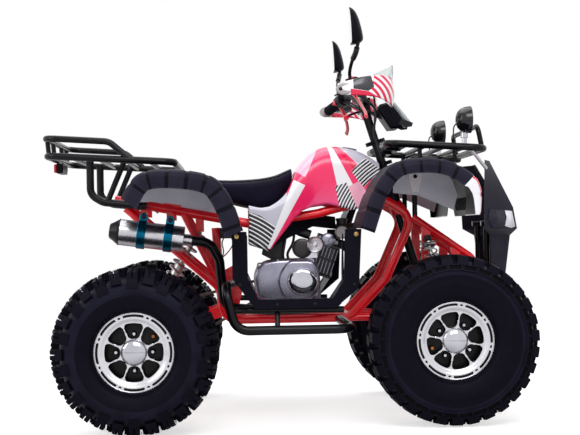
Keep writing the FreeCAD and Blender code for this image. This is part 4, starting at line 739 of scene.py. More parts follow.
rear_blocks = []
for block, count, turn in ((long_block, REAR_PITCHES // 2, 0.0), (short_block, REAR_PITCHES // 2, 0.5),
                           (middle_block, REAR_PITCHES, 0.25), (bead_rib, BEAD_RIBS, 0.0)):
    for mirrored_block in both_sides(block):
        rear_blocks += ring_of(mirrored_block, count, turn)
rear_hairs = hairs(900, 236 * MM, 108 * MM, 12 * MM, seed=4)
rear_tyre = together([rear_body] + rear_blocks + rear_hairs)
rear_pair = together([rear_tyre.moved(at(*WHEELS["rear_right"])), rear_tyre.moved(at(*WHEELS["rear_left"]))])
make_piece("mud_tyres_rear", rear_pair, [tyre_rubber, sheen_rubber], "rear_wheels", ["tyres_rear"],
           crease_deg=30)
print("rear tyre faces:", len(rear_pair.faces))

# %% [markdown]
# The front tyres are narrower and their blocks are lower. Below the blocks runs a ring of raised plates,
# each with an oblong pocket.

# %% Front tyres
FRONT_PITCHES = 31
front_section = mm([(-55, 101), (-61, 116), (-78, 128), (-87, 152), (-88, 180), (-86, 208), (-78, 226),
                    (-42, 238), (0, 240), (42, 238), (78, 226), (86, 208), (88, 180), (87, 152), (78, 128),
                    (61, 116), (55, 101)])
front_body = carcass(front_section, [(132 * MM, 1.2 * MM, 2 * MM), (170 * MM, 1.5 * MM, 1.6 * MM),
                                     (200 * MM, 0.7 * MM, 12 * MM)], 192 * MM)
# Painted light: plate walls and rims take the paler sheen rubber (painted reflection), pockets the near-black
# (painted shade).
plate_sheen_and_shade = [1] * 12 + [2] * 5
pocket_plate = laid(knob(43 * MM, 20 * MM, 7 * MM, 0.06, 8 * MM, pocket=4.5 * MM).painted(plate_sheen_and_shade),
                    216 * MM, 82.5 * MM, math.radians(72))
front_shoulder = shoulder_block(mm([(36, 234), (87, 226), (80, 248), (38, 253)]), 36 * MM, 31 * MM, 2 * MM)
front_middle = shoulder_block(mm([(4, 236), (28, 236), (27, 253.6), (5, 253.8)]), 36 * MM, 32 * MM, 8 * MM)
front_bead_rib = laid(knob(1.8 * MM, 9 * MM, 1.2 * MM, 0.1, 2 * MM), 123 * MM, 75 * MM, BEAD_TILT)
front_blocks = []
for block, count, turn in ((pocket_plate, FRONT_PITCHES, 0.0), (front_shoulder, FRONT_PITCHES, 0.5),
                           (front_middle, FRONT_PITCHES, 0.2), (front_bead_rib, BEAD_RIBS, 0.0)):
    for mirrored_block in both_sides(block):
        front_blocks += ring_of(mirrored_block, count, turn)
front_hairs = hairs(260, 248 * MM, 78 * MM, 10 * MM, seed=9)
front_tyre = together([front_body] + front_blocks + front_hairs)
for side_name in ("right", "left"):
    placed = front_tyre.moved(at(*WHEELS["front_" + side_name]))
    make_piece("trail_tyre_front_" + side_name, placed, [tyre_rubber, sheen_rubber, pocket_shade_rubber],
               "wheel_front_" + side_name, ["tyre_front_" + side_name], crease_deg=30)
print("front tyre faces:", len(front_tyre.faces))

# %% [markdown]
# ## Rims
# Each rim is a cast wheel with a turned face: eight thin spokes leave eight rounded windows painted black
# inside. Outside them runs a dished polished band and then a flat ring with eight long slots and a hole
# between each two. The face is one grid in polar form. Its height dips where a window or a slot is, so the
# spokes' edges are rounded as a casting's are, and the finish changes at the dip.

# %% Wheel face
FACE_SIDES, FACE_RINGS = 288, 66
EIGHTH = 2 * math.pi / 8
FACE_INNER, FACE_OUTER = 34 * MM, 113 * MM
SPOKE_HALF, WINDOW_INNER, WINDOW_OUTER, WINDOW_CORNER, WINDOW_DEPTH = mm([3.4, 39.5, 84, 12, 30])
SLOT_INNER, SLOT_OUTER, SLOT_CORNER, SLOT_DEPTH = mm([103.8, 109.4, 2.4, 5])
SLOT_HALF_ANGLE = math.radians(15.5)
HOLE_CIRCLE, HOLE_RADIUS, HOLE_DEPTH = mm([106.5, 2.6, 6])
FACE_CROWN, CROWN_SPAN, BAND_CIRCLE, BAND_WIDTH = mm([2, 52, 93, 16])
WINDOW_EDGE, SLOT_EDGE, HOLE_EDGE = mm([2, 1.4, 1.2])


def soft_step(value, edge, width):
    """0 below the edge and 1 above it, with a smooth ramp of the given width."""
    t = np.clip((value - edge) / width + 0.5, 0, 1)
    return t * t * (3 - 2 * t)


def rounded_inside(side_depth, end_depth, corner):
    """Depth inside a shape with round corners: the corner's radius less the distance to its centre."""
    a, b = np.maximum(corner - side_depth, 0), np.maximum(corner - end_depth, 0)
    return corner - np.hypot(a, b)


def wheel_face(face_y, ring_y, turn):
    """Polar grid (angle, radius) from the cap to the flange; its height dips in windows, slots and holes."""
    radius = np.linspace(FACE_INNER, FACE_OUTER, FACE_RINGS)[None, :]
    angle = (2 * math.pi * np.arange(FACE_SIDES) / FACE_SIDES)[:, None]
    off = (angle + EIGHTH / 2) % EIGHTH - EIGHTH / 2
    spoke_off = angle % EIGHTH - EIGHTH / 2
    window = rounded_inside(EIGHTH / 2 * radius - SPOKE_HALF - np.abs(off) * radius,
                            np.minimum(radius - WINDOW_INNER, WINDOW_OUTER - radius), WINDOW_CORNER)
    slot = rounded_inside(SLOT_HALF_ANGLE * radius - np.abs(off) * radius,
                          np.minimum(radius - SLOT_INNER, SLOT_OUTER - radius), SLOT_CORNER)
    hole = HOLE_RADIUS - np.hypot(spoke_off * radius, radius - HOLE_CIRCLE)
    in_window = soft_step(window, 0, WINDOW_EDGE)
    in_slot = soft_step(slot, 0, SLOT_EDGE)
    in_hole = soft_step(hole, 0, HOLE_EDGE)
    crown = FACE_CROWN * np.sin(np.clip((radius - FACE_INNER) / CROWN_SPAN, 0, 1) * math.pi)
    rise = soft_step(radius, BAND_CIRCLE, BAND_WIDTH)
    y = (face_y + crown + (ring_y - face_y) * rise - WINDOW_DEPTH * in_window - SLOT_DEPTH * in_slot
         - HOLE_DEPTH * in_hole)
    points = points_of(radius * np.cos(angle + turn), y, radius * np.sin(angle + turn))
    dark = ((in_window > 0.3) | (in_slot > 0.35) | (in_hole > 0.4)).astype(int)
    corner = np.maximum.reduce([dark, np.roll(dark, -1, 0)])[:, :-1]
    shape = grid_shape(points, close_rows=True)
    return Shape(shape.points, shape.faces, corner.reshape(-1).tolist())


print("face points:", FACE_SIDES * FACE_RINGS)

# %% [markdown]
# Behind the face is the barrel, a turned ring whose flanges hold the tyre's beads. A domed chrome cap hides
# the axle nut, four acorn nuts hold the wheel, and the valve stands in one window.

# %% Barrel, cap and nuts
NUT_CIRCLE, VALVE_CIRCLE = 53 * MM, 71 * MM


def lug_nut(angle, y):
    """Acorn nut on the nuts' circle: a hexagon with a domed end."""
    profile = mm([(0, 0), (0, 9.5), (10, 9.0), (15, 7.4), (18, 4.6), (19, 0)])
    place = at(NUT_CIRCLE * math.cos(angle), y, NUT_CIRCLE * math.sin(angle))
    return turned(profile, 6, finish=2).moved(place)


def rim_shape(width, turn, nut_turn, valve_angle):
    """Barrel with flanges, face, cap, four nuts and valve; finish 0 turned, 1 black, 2 chrome, 3 copper."""
    half, seat_r = width / 2, 100.5 * MM
    face_y, ring_y = half - 11 * MM, half - 3 * MM
    outside = [(-half, 115 * MM), (-half + 8 * MM, 115 * MM), (-half + 14 * MM, seat_r),
               (-half + 34 * MM, seat_r), (-half + 46 * MM, 85 * MM), (half - 46 * MM, 85 * MM),
               (half - 34 * MM, seat_r), (half - 14 * MM, seat_r), (half - 8 * MM, 115 * MM),
               (half - 3 * MM, 116 * MM), (half - 1 * MM, 115 * MM), (half - 0.6 * MM, 113.4 * MM),
               (half - 2.5 * MM, 112.6 * MM), (half - 8 * MM, 110 * MM)]
    inside = [(half - 30 * MM, 95 * MM), (half - 46 * MM, 79 * MM), (-half + 46 * MM, 79 * MM),
              (-half + 34 * MM, 95 * MM), (-half + 10 * MM, 96 * MM), (-half, 108 * MM)]
    barrel = turned(outside + inside + outside[:1], 128)
    steps = len(outside) + len(inside)
    rim_finish = [0 if 7 <= i % steps <= 13 else 1 for i in range(len(barrel.faces))]
    pieces = [barrel.painted(rim_finish), wheel_face(face_y, ring_y, turn)]
    hub = turned([(face_y - 42 * MM, 66 * MM), (face_y - 28 * MM, 66 * MM), (face_y - 27 * MM, 60 * MM),
                  (face_y - 24 * MM, 38 * MM), (face_y - 4 * MM, 36 * MM)], 64, finish=1)
    cap = turned([(face_y - 6 * MM, 38 * MM), (face_y + 3 * MM, 38 * MM), (face_y + 5 * MM, 37 * MM),
                  (face_y + 9 * MM, 33 * MM), (face_y + 12.5 * MM, 27 * MM), (face_y + 15 * MM, 20 * MM),
                  (face_y + 16.6 * MM, 11 * MM), (face_y + 17 * MM, 0)], 64, finish=2)
    pieces += [hub, cap]
    pieces += [lug_nut(nut_turn + math.pi / 2 * i, face_y - 28 * MM) for i in range(4)]
    valve = turned(mm([(0, 6.5), (12, 6.0), (14, 4.8), (24, 4.8), (25, 0)]), 12, finish=3)
    pieces.append(valve.moved(at(VALVE_CIRCLE * math.cos(valve_angle), face_y - 30 * MM,
                                 VALVE_CIRCLE * math.sin(valve_angle))))
    return together(pieces)

# %% [markdown]
# The wheel is drawn with its face to the left and mirrored for the right side. Both rear rims turn on one
# axle, so they are one piece.

# %% Rims in place
copper_tip = grained("copper_valve_cap", "#b4713f", "#8e5530", 1.0, 0.3, 0.05, 0.1, Metallic=1.0)
window_black = grained("black_wheel_paint", "#040405", "#070709", 2.0, 0.35, 0.05, 0.1,
                       **{"Specular IOR Level": 0.2})
FRONT_TURN = math.radians(12)
for side_name, side in (("right", -1), ("left", 1)):
    wheel = rim_shape(140 * MM, FRONT_TURN, FRONT_TURN - EIGHTH, math.radians(198))
    mirrored_wheel = wheel if side > 0 else wheel.moved(OTHER_SIDE)
    place = WHEELS["front_" + side_name]
    make_piece("alloy_rim_front_" + side_name, mirrored_wheel.moved(at(*place)),
               [turned_face("turned_rim_front_" + side_name, place[0], place[2]), window_black, chrome_trim,
                copper_tip], "wheel_front_" + side_name, ["rim_front_" + side_name])
rear_wheel = rim_shape(185 * MM, 0.0, 0.0, math.radians(39))
rear_rims = together([rear_wheel.moved(at(*WHEELS["rear_left"])),
                      rear_wheel.moved(OTHER_SIDE).moved(at(*WHEELS["rear_right"]))])
make_piece("alloy_rims_rear", rear_rims,
           [turned_face("turned_rims_rear", REAR_X, REAR_AXLE), window_black, chrome_trim, copper_tip],
           "rear_wheels", ["rims_rear"])
print("rear rim faces:", len(rear_rims.faces))

# %% [markdown]
# ## Body cover
# The cover is one gloss moulding, and its facets are printed film: rays of white and two pinks that meet at
# hard lines, with bands of black and white stripes. Cutting the mesh along each line would leave slivers, so
# the film is worked out in the shader instead. Each facet is a convex outline in the side plane, and a point
# is inside it where its depth behind every edge is positive.

# %% Stripes and facets
FILM_EDGE = 0.5 * MM


def stripes(tree, where, dark, pale, pitch_mm, centre, duty):
    """Arcs about a centre in the side plane: the first share of every pitch from it is dark."""
    side = add_node(tree, "ShaderNodeVectorMath", {"operation": "MULTIPLY"}, links={0: (where, "Object")})
    side.inputs[1].default_value = (1, 0, 1)
    along = add_node(tree, "ShaderNodeVectorMath", {"operation": "DISTANCE"}, links={0: (side, "Vector")})
    along.inputs[1].default_value = (centre[0] * MM, 0, centre[1] * MM)
    phase = add_node(tree, "ShaderNodeMath", {"operation": "DIVIDE"}, inputs={1: pitch_mm * MM},
                     links={0: (along, "Value")})
    part = add_node(tree, "ShaderNodeMath", {"operation": "FRACT"}, links={0: (phase, "Value")})
    edge = add_node(tree, "ShaderNodeMapRange", inputs={"From Min": duty - 0.04, "From Max": duty + 0.04},
                    links={"Value": (part, "Value")})
    mix = add_node(tree, "ShaderNodeMix", {"data_type": "RGBA"}, links={"Factor": (edge, "Result")})
    mix.inputs["A"].default_value = hex_colour(dark)
    mix.inputs["B"].default_value = hex_colour(pale)
    return mix, "Result"


def inside_outline(tree, where, outline):
    """1 inside a convex XZ outline in millimetres, 0 outside: the least depth behind its edges, sharpened."""
    corners = mm(outline)
    centre = corners.mean(axis=0)
    least = None
    for start, end in zip(corners, np.roll(corners, -1, 0)):
        normal = np.array([-(end - start)[1], (end - start)[0]])
        normal /= np.linalg.norm(normal)
        if normal @ (centre - start) < 0:
            normal = -normal
        depth = add_node(tree, "ShaderNodeVectorMath", {"operation": "DOT_PRODUCT"},
                         links={0: (where, "Object")})
        depth.inputs[1].default_value = (normal[0], 0, normal[1])
        behind = add_node(tree, "ShaderNodeMath", {"operation": "SUBTRACT"},
                          inputs={1: float(normal @ start)}, links={0: (depth, "Value")})
        if least:
            behind = add_node(tree, "ShaderNodeMath", {"operation": "MINIMUM"},
                              links={0: (least, "Value"), 1: (behind, "Value")})
        least = behind
    return add_node(tree, "ShaderNodeMapRange",
                    inputs={"From Min": -FILM_EDGE / 2, "From Max": FILM_EDGE / 2},
                    links={"Value": (least, "Value")})

# %% [markdown]
# The film starts from a ground colour and lays each facet over what is there, so later facets cover earlier
# ones. A clear coat gives the gloss.


# %% Printed film
def printed_film(name, ground, shaded_ground, facets):
    """Gloss film: a ground colour that pales downwards, then each (colour, outline) facet over it in turn."""
    finish, tree, shader = new_finish(name, {"Roughness": 0.25, "Coat Weight": 0.35, "Coat Roughness": 0.05})
    where = add_node(tree, "ShaderNodeTexCoord")
    height = add_node(tree, "ShaderNodeSeparateXYZ", links={0: (where, "Object")})
    fade = add_node(tree, "ShaderNodeMapRange", inputs={"From Min": 0.64, "From Max": 0.74},
                    links={"Value": (height, "Z")})
    layer = add_node(tree, "ShaderNodeMix", {"data_type": "RGBA"}, links={"Factor": (fade, "Result")})
    layer.inputs["A"].default_value = hex_colour(shaded_ground)
    layer.inputs["B"].default_value = hex_colour(ground)
    for colour, outline in facets:
        if isinstance(colour, str):
            top, output = add_node(tree, "ShaderNodeRGB"), "Color"
            top.outputs[output].default_value = hex_colour(colour)
        else:
            top, output = stripes(tree, where, *colour)
        mask = inside_outline(tree, where, outline)
        over = add_node(tree, "ShaderNodeMix", {"data_type": "RGBA"}, links={"Factor": (mask, "Result")})
        tree.links.new(layer.outputs["Result"], over.inputs["A"])
        tree.links.new(top.outputs[output], over.inputs["B"])
        layer = over
    ripple = add_node(tree, "ShaderNodeTexNoise", inputs={"Scale": 1 / (30 * MM), "Detail": 2.0},
                      links={"Vector": (where, "Object")})
    lift = add_node(tree, "ShaderNodeBump", inputs={"Strength": 0.06, "Distance": 1 * MM},
                    links={"Height": (ripple, "Fac")})
    tree.links.new(layer.outputs["Result"], shader.inputs["Base Color"])
    tree.links.new(lift.outputs["Normal"], shader.inputs["Normal"])
    return finish

# %% [markdown]
# The layout is the lesson's own, in the colours and at the scale of the real cover. Most facets are pieces
# of two fans, so a function makes one from two angles and two radii.

# %% Film of the cover
BLACK, WHITE, SILVER, PALE, HOT, CRIMSON = "#0f0e14", "#fbf9ff", "#c9c6d6", "#ffb4cc", "#ff2468", "#e50b46"


def ray(focus, first, last, near, far):
    """Piece of a fan in millimetres: two angles from straight down, forward positive, and two radii."""
    turn = np.radians([first, first, last, last])
    reach = np.array([near, far, far, near])
    return [(focus[0] + r * math.sin(a), focus[1] - r * math.cos(a)) for a, r in zip(turn, reach)]


TANK_FAN, LOBE_FAN = (126, 898), (-84, 478)
LOBE_ARCS = (BLACK, WHITE, 12.0, (-235, 345), 0.68)
NOSE_ARCS = (BLACK, WHITE, 9.5, (420, 560), 0.55)
COVER_FACETS = [
    (SILVER, [(-150, 690), (4, 706), (-14, 600), (-52, 515), (-150, 530)]),
    (LOBE_ARCS, [(-124, 650), (-84, 636), (-26, 594), (-50, 520), (-124, 540)]),
    (WHITE, ray(LOBE_FAN, 150, 158, 60, 290)), (HOT, ray(LOBE_FAN, 141, 150, 60, 330)),
    (WHITE, ray(LOBE_FAN, 133, 138, 60, 210)),
    (CRIMSON, ray(TANK_FAN, -96, -57, 0, 260)), (WHITE, ray(TANK_FAN, -57, -48, 0, 190)),
    (PALE, ray(TANK_FAN, -46, -24, 0, 158)), (WHITE, ray(TANK_FAN, 12, 27, 0, 205)),
    (CRIMSON, ray(TANK_FAN, 36, 40, 0, 220)), (SILVER, ray(TANK_FAN, 44, 96, 60, 260)),
    (NOSE_ARCS, ray(TANK_FAN, 33, 56, 150, 215)), (NOSE_ARCS, ray(TANK_FAN, 10, 22, 175, 290)),
    (PALE, ray(TANK_FAN, 22, 34, 190, 290)),
]
cover_film = printed_film("printed_gloss_film", HOT, "#ff5c96", COVER_FACETS)
print("film facets:", len(COVER_FACETS))

# %% [markdown]
# The cover itself is one smooth shell. Seen from the side its lower edge is a scalloped line, and its top
# runs from the low side lobes up over the tank and down to the steering column. Each cross-section is a box
# with round shoulders, and all the sections together are one grid: places along the machine by places round
# the section. Under the saddle the top drops to the saddle's foot, so the saddle sits in a pocket.

# %% Cover shell
COVER = mm([(-118, 190, 668, 12), (-60, 190, 662, 12), (0, 185, 706, 30), (40, 175, 784, 56),
            (95, 162, 838, 62), (150, 162, 853, 62), (230, 165, 839, 60), (300, 150, 800, 44)])
COVER_EDGE = mm([(-122, 545), (-55, 523), (-35, 551), (26, 626), (51, 649), (87, 663), (132, 669),
                 (208, 649), (240, 655), (310, 730)])
SADDLE = mm([(-400, 95, 712, 752), (-360, 120, 705, 768), (-292, 125, 697, 762), (-225, 125, 690, 757),
             (-168, 119, 674, 755), (-110, 112, 661, 757), (-68, 106, 664, 761), (-30, 100, 673, 769),
             (2, 93, 702, 782), (25, 88, 726, 792)])
POCKET_END = 26.5 * MM
COVER_WALL = 3 * MM
COVER_ROWS = 132
ROOF_CROWN = 0.035


def cover_surface():
    """Half section: a side, a quarter-round shoulder and a crowned roof, and then its mirror twin."""
    knots = smooth_line(COVER, 600)
    x = np.linspace(COVER[0, 0], COVER[-1, 0], COVER_ROWS)
    half, high, corner = (np.interp(x, knots[:, 0], knots[:, k])[:, None] for k in (1, 2, 3))
    edge = np.interp(x, COVER_EDGE[:, 0], COVER_EDGE[:, 1])[:, None]
    side, shoulder, roof = (np.linspace(0, 1, n)[None, :] for n in (14, 10, 16))
    pull_in = np.interp(x, [120 * MM, 190 * MM], [0.05, 0.015])[:, None]
    side_y = half * (1 - pull_in * (1 - side) ** 2)
    side_z = edge + (high - corner - edge) * side
    round_y = half - corner * (1 - np.cos(math.pi / 2 * shoulder[:, 1:]))
    round_z = high - corner * (1 - np.sin(math.pi / 2 * shoulder[:, 1:]))
    roof_y = (half - corner) * (1 - roof[:, 1:])
    above = x[:, None] > POCKET_END
    roof_z = high + ROOF_CROWN * half * (1 - (1 - roof[:, 1:]) ** 2) * above
    y = np.concatenate([side_y, round_y, roof_y], axis=1)
    z = np.concatenate([side_z, round_z, roof_z], axis=1)
    seat_half = np.interp(x, SADDLE[:, 0], SADDLE[:, 1])[:, None] + 2 * MM
    seat_low = np.interp(x, SADDLE[:, 0], SADDLE[:, 2])[:, None] - 1.5 * MM
    pocket = (y < seat_half) & (x[:, None] < POCKET_END)
    z = np.where(pocket, np.minimum(z, seat_low), z)
    right = points_of(x[:, None], -y, z)
    left = right[:, -2::-1] * np.array([1, -1, 1])
    return np.concatenate([right, left], axis=1)


cover_shell = make_piece("gloss_body_cover", grid_shape(cover_surface()), [cover_film], "chassis",
                         ["body_cover"], crease_deg=28)
give_wall(cover_shell, COVER_WALL, -1.0)
print("cover points:", len(cover_shell.data.vertices))

# %% [markdown]
# ## Seat
# The saddle is foam under black vinyl, pulled down over a plastic base. Its section is a rounded box with a
# crowned top and sides that swell a little, and it is worked out as one formula along the saddle's length.
# Two sewn seams with a raised welt run where the top panel meets the sides, and press a shallow groove.

# %% Saddle
SADDLE_GAP = 0.6 * MM
SADDLE_ROWS, SADDLE_COLUMNS = 90, 88
SADDLE_LENGTH_MM, END_ROUND = 425, 14 * MM
SIDE_POWER, TOP_POWER, FOOT_PINCH = 0.36, 0.40, 0.035
CROWN, GROOVE = 7 * MM, 2.2 * MM
SEAM_SHARE, SEAM_WIDTH = 0.86, 0.035


def rounded_power(value, power):
    """Sine or cosine raised towards a square wave, with its sign kept."""
    return np.sign(value) * np.abs(value) ** power


def saddle_section(share):
    """Half width, foot and top heights and place along the saddle for shares from 0 to 1 of its length."""
    knots = smooth_line(SADDLE, 400)
    index = np.clip(np.asarray(share) * 399, 0, 399)
    return [np.interp(index, np.arange(400), knots[:, k]) for k in range(4)]


def saddle_surface():
    """Superellipse section about each station; the ends close in a short round, and seams press grooves."""
    share = np.linspace(0, 1, SADDLE_ROWS)[:, None]
    x, half, low, high = (value[:, None] if value.ndim == 1 else value
                          for value in saddle_section(share[:, 0]))
    half, low, high = half - SADDLE_GAP, low + SADDLE_GAP, high - SADDLE_GAP
    ends = np.minimum(share, 1 - share) * SADDLE_LENGTH_MM * MM / END_ROUND
    closing = np.sqrt(np.clip(1 - (1 - np.clip(ends, 0, 1)) ** 2, 0, 1))
    turn = 2 * math.pi * np.arange(SADDLE_COLUMNS)[None, :] / SADDLE_COLUMNS
    across = rounded_power(np.cos(turn), SIDE_POWER)
    rise = rounded_power(np.sin(turn), TOP_POWER)
    swell = 1 - FOOT_PINCH * (1 - np.cos(math.pi * np.clip(rise, -1, 1))) / 2 * (rise < 0)
    y = half * across * swell * (0.55 + 0.45 * closing)
    middle, reach = (low + high) / 2, (high - low) / 2
    crown = CROWN * (across ** 2) * (rise > 0) * rise
    groove = GROOVE * np.exp(-((np.abs(across) - SEAM_SHARE) / SEAM_WIDTH) ** 2) * (rise > 0.3)
    z = middle + reach * rise * closing - (crown + groove) * closing
    return points_of(x, y, z)


def saddle_welt(side):
    """Round cord that follows the seam between the top panel and one side."""
    share = np.linspace(0.03, 0.97, 60)
    x, half, low, high = saddle_section(share)
    y = side * (half - SADDLE_GAP) * SEAM_SHARE
    z = high - SADDLE_GAP - 8.2 * MM
    return round_bar(points_of(x, y, z), 1.9 * MM, 8)


saddle = together([grid_shape(saddle_surface(), close_columns=True, caps=True), saddle_welt(-1),
                   saddle_welt(1)])
saddle_piece = make_piece("vinyl_saddle", saddle, [seat_vinyl], "chassis", ["seat"],
                          crease_deg=50)
print("saddle faces:", len(saddle.faces))

# %% [markdown]
# ## Wheel arches
# Each arch is a charcoal moulding with raised bands across it, and a lip turned down at the outside. A
# profile is carried along the arch's side line: a flat roof, a round shoulder and the lip, with a wall that
# has an inside. The bands are part of the same grid. The roof rises and falls along the line as a soft square
# wave, and the narrow grooves between the bands are painted black as painted shade. The front end of each
# front arch gets thinner towards its tip, and it is gloss white with a crimson shoulder.

# %% Arch section
REAR_ARCH = mm([(-490, 690), (-440, 757), (-350, 771), (-230, 750), (-175, 690), (-138, 590)])
FRONT_ARCH = mm([(205, 592), (250, 710), (320, 786), (450, 793), (540, 750), (569, 700), (566, 625)])
REAR_INNER, REAR_OUTER, REAR_LIP = 195 * MM, 524 * MM, 56 * MM
FRONT_INNER, FRONT_OUTER, FRONT_LIP = 180 * MM, 454 * MM, 46 * MM
ARCH_WALL, ARCH_SHOULDER = 4 * MM, 24 * MM
BAND_PITCH, BAND_RISE = 60 * MM, 2.0 * MM
BAND_SHARPNESS, BAND_SHARE = 9, 0.80
TAPER, TAPER_POWER = 0.6, 0.8
NOSE_START = (520 * MM, 744 * MM)


def arch_shape(line, inner, outer, lip, centre):
    """Section (side, depth under the line) carried along the line; depth is square to it in the plane."""
    path = smooth_line(line, 260)
    ahead = np.gradient(path, axis=0)
    ahead /= np.linalg.norm(ahead, axis=1)[:, None]
    under = np.stack([ahead[:, 1], -ahead[:, 0]], axis=-1)
    travelled = np.concatenate([[0], np.cumsum(np.linalg.norm(np.diff(path, axis=0), axis=1))])
    wave = np.cos(2 * math.pi * (travelled - centre) / BAND_PITCH)
    band = np.clip(BAND_SHARPNESS * (wave + BAND_SHARE), -1, 1)
    rise = BAND_RISE * (band - 1) / 2
    turn = np.linspace(0, math.pi / 2, 8)
    inside = ARCH_SHOULDER - ARCH_WALL
    outside = [(inner, 0), ((inner + outer) / 2, 0)]
    outside += [(outer - ARCH_SHOULDER + ARCH_SHOULDER * math.sin(a), ARCH_SHOULDER * (1 - math.cos(a)))
                for a in turn]
    outside += [(outer, lip * 0.9), (outer - ARCH_WALL * 0.3, lip), (outer - ARCH_WALL, lip)]
    hollow = [(outer - ARCH_SHOULDER + inside * math.sin(a), ARCH_SHOULDER - inside * math.cos(a))
              for a in turn[::-1]]
    hollow += [((inner + outer) / 2, ARCH_WALL), (inner, ARCH_WALL)]
    section = np.array(outside + hollow)
    raised = (np.arange(len(section)) < len(outside) - 2)[None, :]
    along = np.clip((NOSE_START[1] - path[:, 1]) / (NOSE_START[1] - path[-1, 1]), 0, 1)
    along = (along * (path[:, 0] > NOSE_START[0]))[:, None]
    depth = section[None, :, 1] * (1 - TAPER * along ** TAPER_POWER) - rise[:, None] * raised
    side = section[None, :, 0] + 0.5 * rise[:, None] * raised * (section[None, :, 1] > ARCH_SHOULDER * 0.9)
    x = path[:, None, 0] + under[:, None, 0] * depth
    z = path[:, None, 1] + under[:, None, 1] * depth
    nose = (path[:-1, 0] > NOSE_START[0]) & (path[:-1, 1] < NOSE_START[1])
    column = np.arange(len(section))[None, :]
    film = np.where((column > 2) & (column < 6), 2, np.where(column < len(outside) - 1, 1, 3))
    # Painted shade: the narrow grooves between the bands take black plastic, darker than the charcoal
    # moulding.
    groove_shade = np.where((band[:-1, None] < 0) & raised, 3, 0)
    finish = np.where(nose[:, None], film, groove_shade).reshape(-1).tolist() + [0, 0]
    return grid_shape(points_of(x, -side, z), close_columns=True, caps=True, finish=finish)

# %% [markdown]
# The two rear arches are twins. The front ones are joined by a flat hood, which follows the same side line.

# %% Arches in place
rear_arches = and_twin(arch_shape(REAR_ARCH, REAR_INNER, REAR_OUTER, REAR_LIP, 20 * MM))
make_piece("banded_rear_arches", rear_arches, [charcoal_plastic, panel_white, panel_red, black_plastic],
           "chassis", ["rear_fender"], crease_deg=30)
hood_line = smooth_line(FRONT_ARCH, 150)
hood_line = hood_line[(hood_line[:, 0] > 352 * MM) & (hood_line[:, 0] < 528 * MM)]
hood_side = np.array([-FRONT_INNER, FRONT_INNER])
hood_points = points_of(hood_line[:, None, 0], hood_side, hood_line[:, None, 1] - 2 * MM)
hood_under = hood_points - np.array([0, 0, ARCH_WALL])
hood = grid_shape(np.concatenate([hood_points, hood_under[:, ::-1]], axis=1), close_columns=True, caps=True)
front_arches = together([and_twin(arch_shape(FRONT_ARCH, FRONT_INNER, FRONT_OUTER, FRONT_LIP, 30 * MM)),
                         hood])
make_piece("banded_front_arches", front_arches, [charcoal_plastic, panel_white, panel_red, black_plastic],
           "chassis", ["front_fender"], crease_deg=30)
print("arch faces:", len(rear_arches.faces), len(front_arches.faces))

# %% [markdown]
# ## Nose panel
# Between the arches hangs a gloss nose panel, white with a crimson edge, with nine upright slots in its lower
# part. The panel is a curved sheet with a black inside, and the slots are dark bars let into it: painted shade
# that stands in for the shadow seen through each slot.

# %% Nose panel
NOSE_LINE = mm([(528, 757), (552, 738), (573, 710), (586, 668), (594, 626)])
NOSE_HALF, NOSE_WALL, NOSE_BOW = 179 * MM, 3 * MM, 3 * MM
nose_line = smooth_line(NOSE_LINE, 24)
nose_bow = np.linspace(-1, 1, 25)
nose_x = nose_line[:, None, 0] - NOSE_BOW * nose_bow ** 4
nose_sheet = points_of(nose_x, nose_bow * NOSE_HALF, nose_line[:, None, 1])
edge_faces = (np.abs(nose_bow[:-1] + nose_bow[1:]) / 2 > 0.86).astype(int)
nose_shape = grid_shape(nose_sheet, finish=[int(k) for k in np.tile(edge_faces, len(nose_line) - 1)])
nose = make_piece("gloss_nose_panel", nose_shape, [panel_white, panel_red, black_plastic, black_plastic],
                  "chassis", ["front_fascia"])
give_wall(nose, NOSE_WALL, 1.0).material_offset = 2
# Painted shade: a dark bar at each slot stands in for the shadow seen through it.
slot_shade_bars = []
for slot_y in np.arange(-120, 121, 30) * MM:
    slot_line = nose_line[(nose_line[:, 1] > 642 * MM) & (nose_line[:, 1] < 690 * MM)]
    slot_path = points_of(slot_line[:, 0] + 0.2 * MM, slot_y, slot_line[:, 1])
    slot_shade_bars.append(round_bar(slot_path, 5 * MM, 10))
make_piece("nose_slot_shade_bars", together(slot_shade_bars), [black_plastic], "chassis")
print("nose slots:", len(slot_shade_bars))

# %% [markdown]
# ## Liners and bumper inserts
# Inside each front arch a folded plate carries the lamp lead's clip on one black screw. On the bumper's
# corners a bright film insert follows the fold: its outline is drawn in the side plane, and each corner is
# put on the bumper's own sloping side, whose place between two levels is worked out from the front and rear
# edges.

# %% Liner plates and inserts
LINER_PLATE = mm([(383, 771), (427, 768), (421, 728), (414, 703), (394, 700), (386, 727)])
liner_plates = [slab(LINER_PLATE, -208.5 * MM, -204.3 * MM, 1.5 * MM),
                turned_at([(0, 0), (0, 6), (2, 6), (4, 3.5), (4, 0)], 20, mm([404, -208.4, 750]), finish=1)]
make_piece("liner_plates", and_twin(together(liner_plates)), [light_grey_plastic, black_plastic], "chassis",
           crease_deg=30)

BUMPER_LEVELS = mm([(426, 712, 60, 660, 110), (560, 728, 70, 650, 140), (582, 747.5, 90, 622, 206),
                    (650, 735, 95, 620, 212), (798, 650, 150, 624, 215)])
INSERT_PROUD = 1.2 * MM


def on_bumper(x, z):
    """Point on the bumper's right side, where each level runs straight from the front edge to the rear."""
    front, front_half, rear, rear_half = (np.interp(z, BUMPER_LEVELS[:, 0], BUMPER_LEVELS[:, k])
                                          for k in range(1, 5))
    share = (front - x) / (front - rear)
    way = np.array([rear_half - front_half, -(front - rear)])
    way /= np.linalg.norm(way)
    y = -(front_half + (rear_half - front_half) * share)
    return np.array([x + way[0] * INSERT_PROUD, y + way[1] * INSERT_PROUD, z])


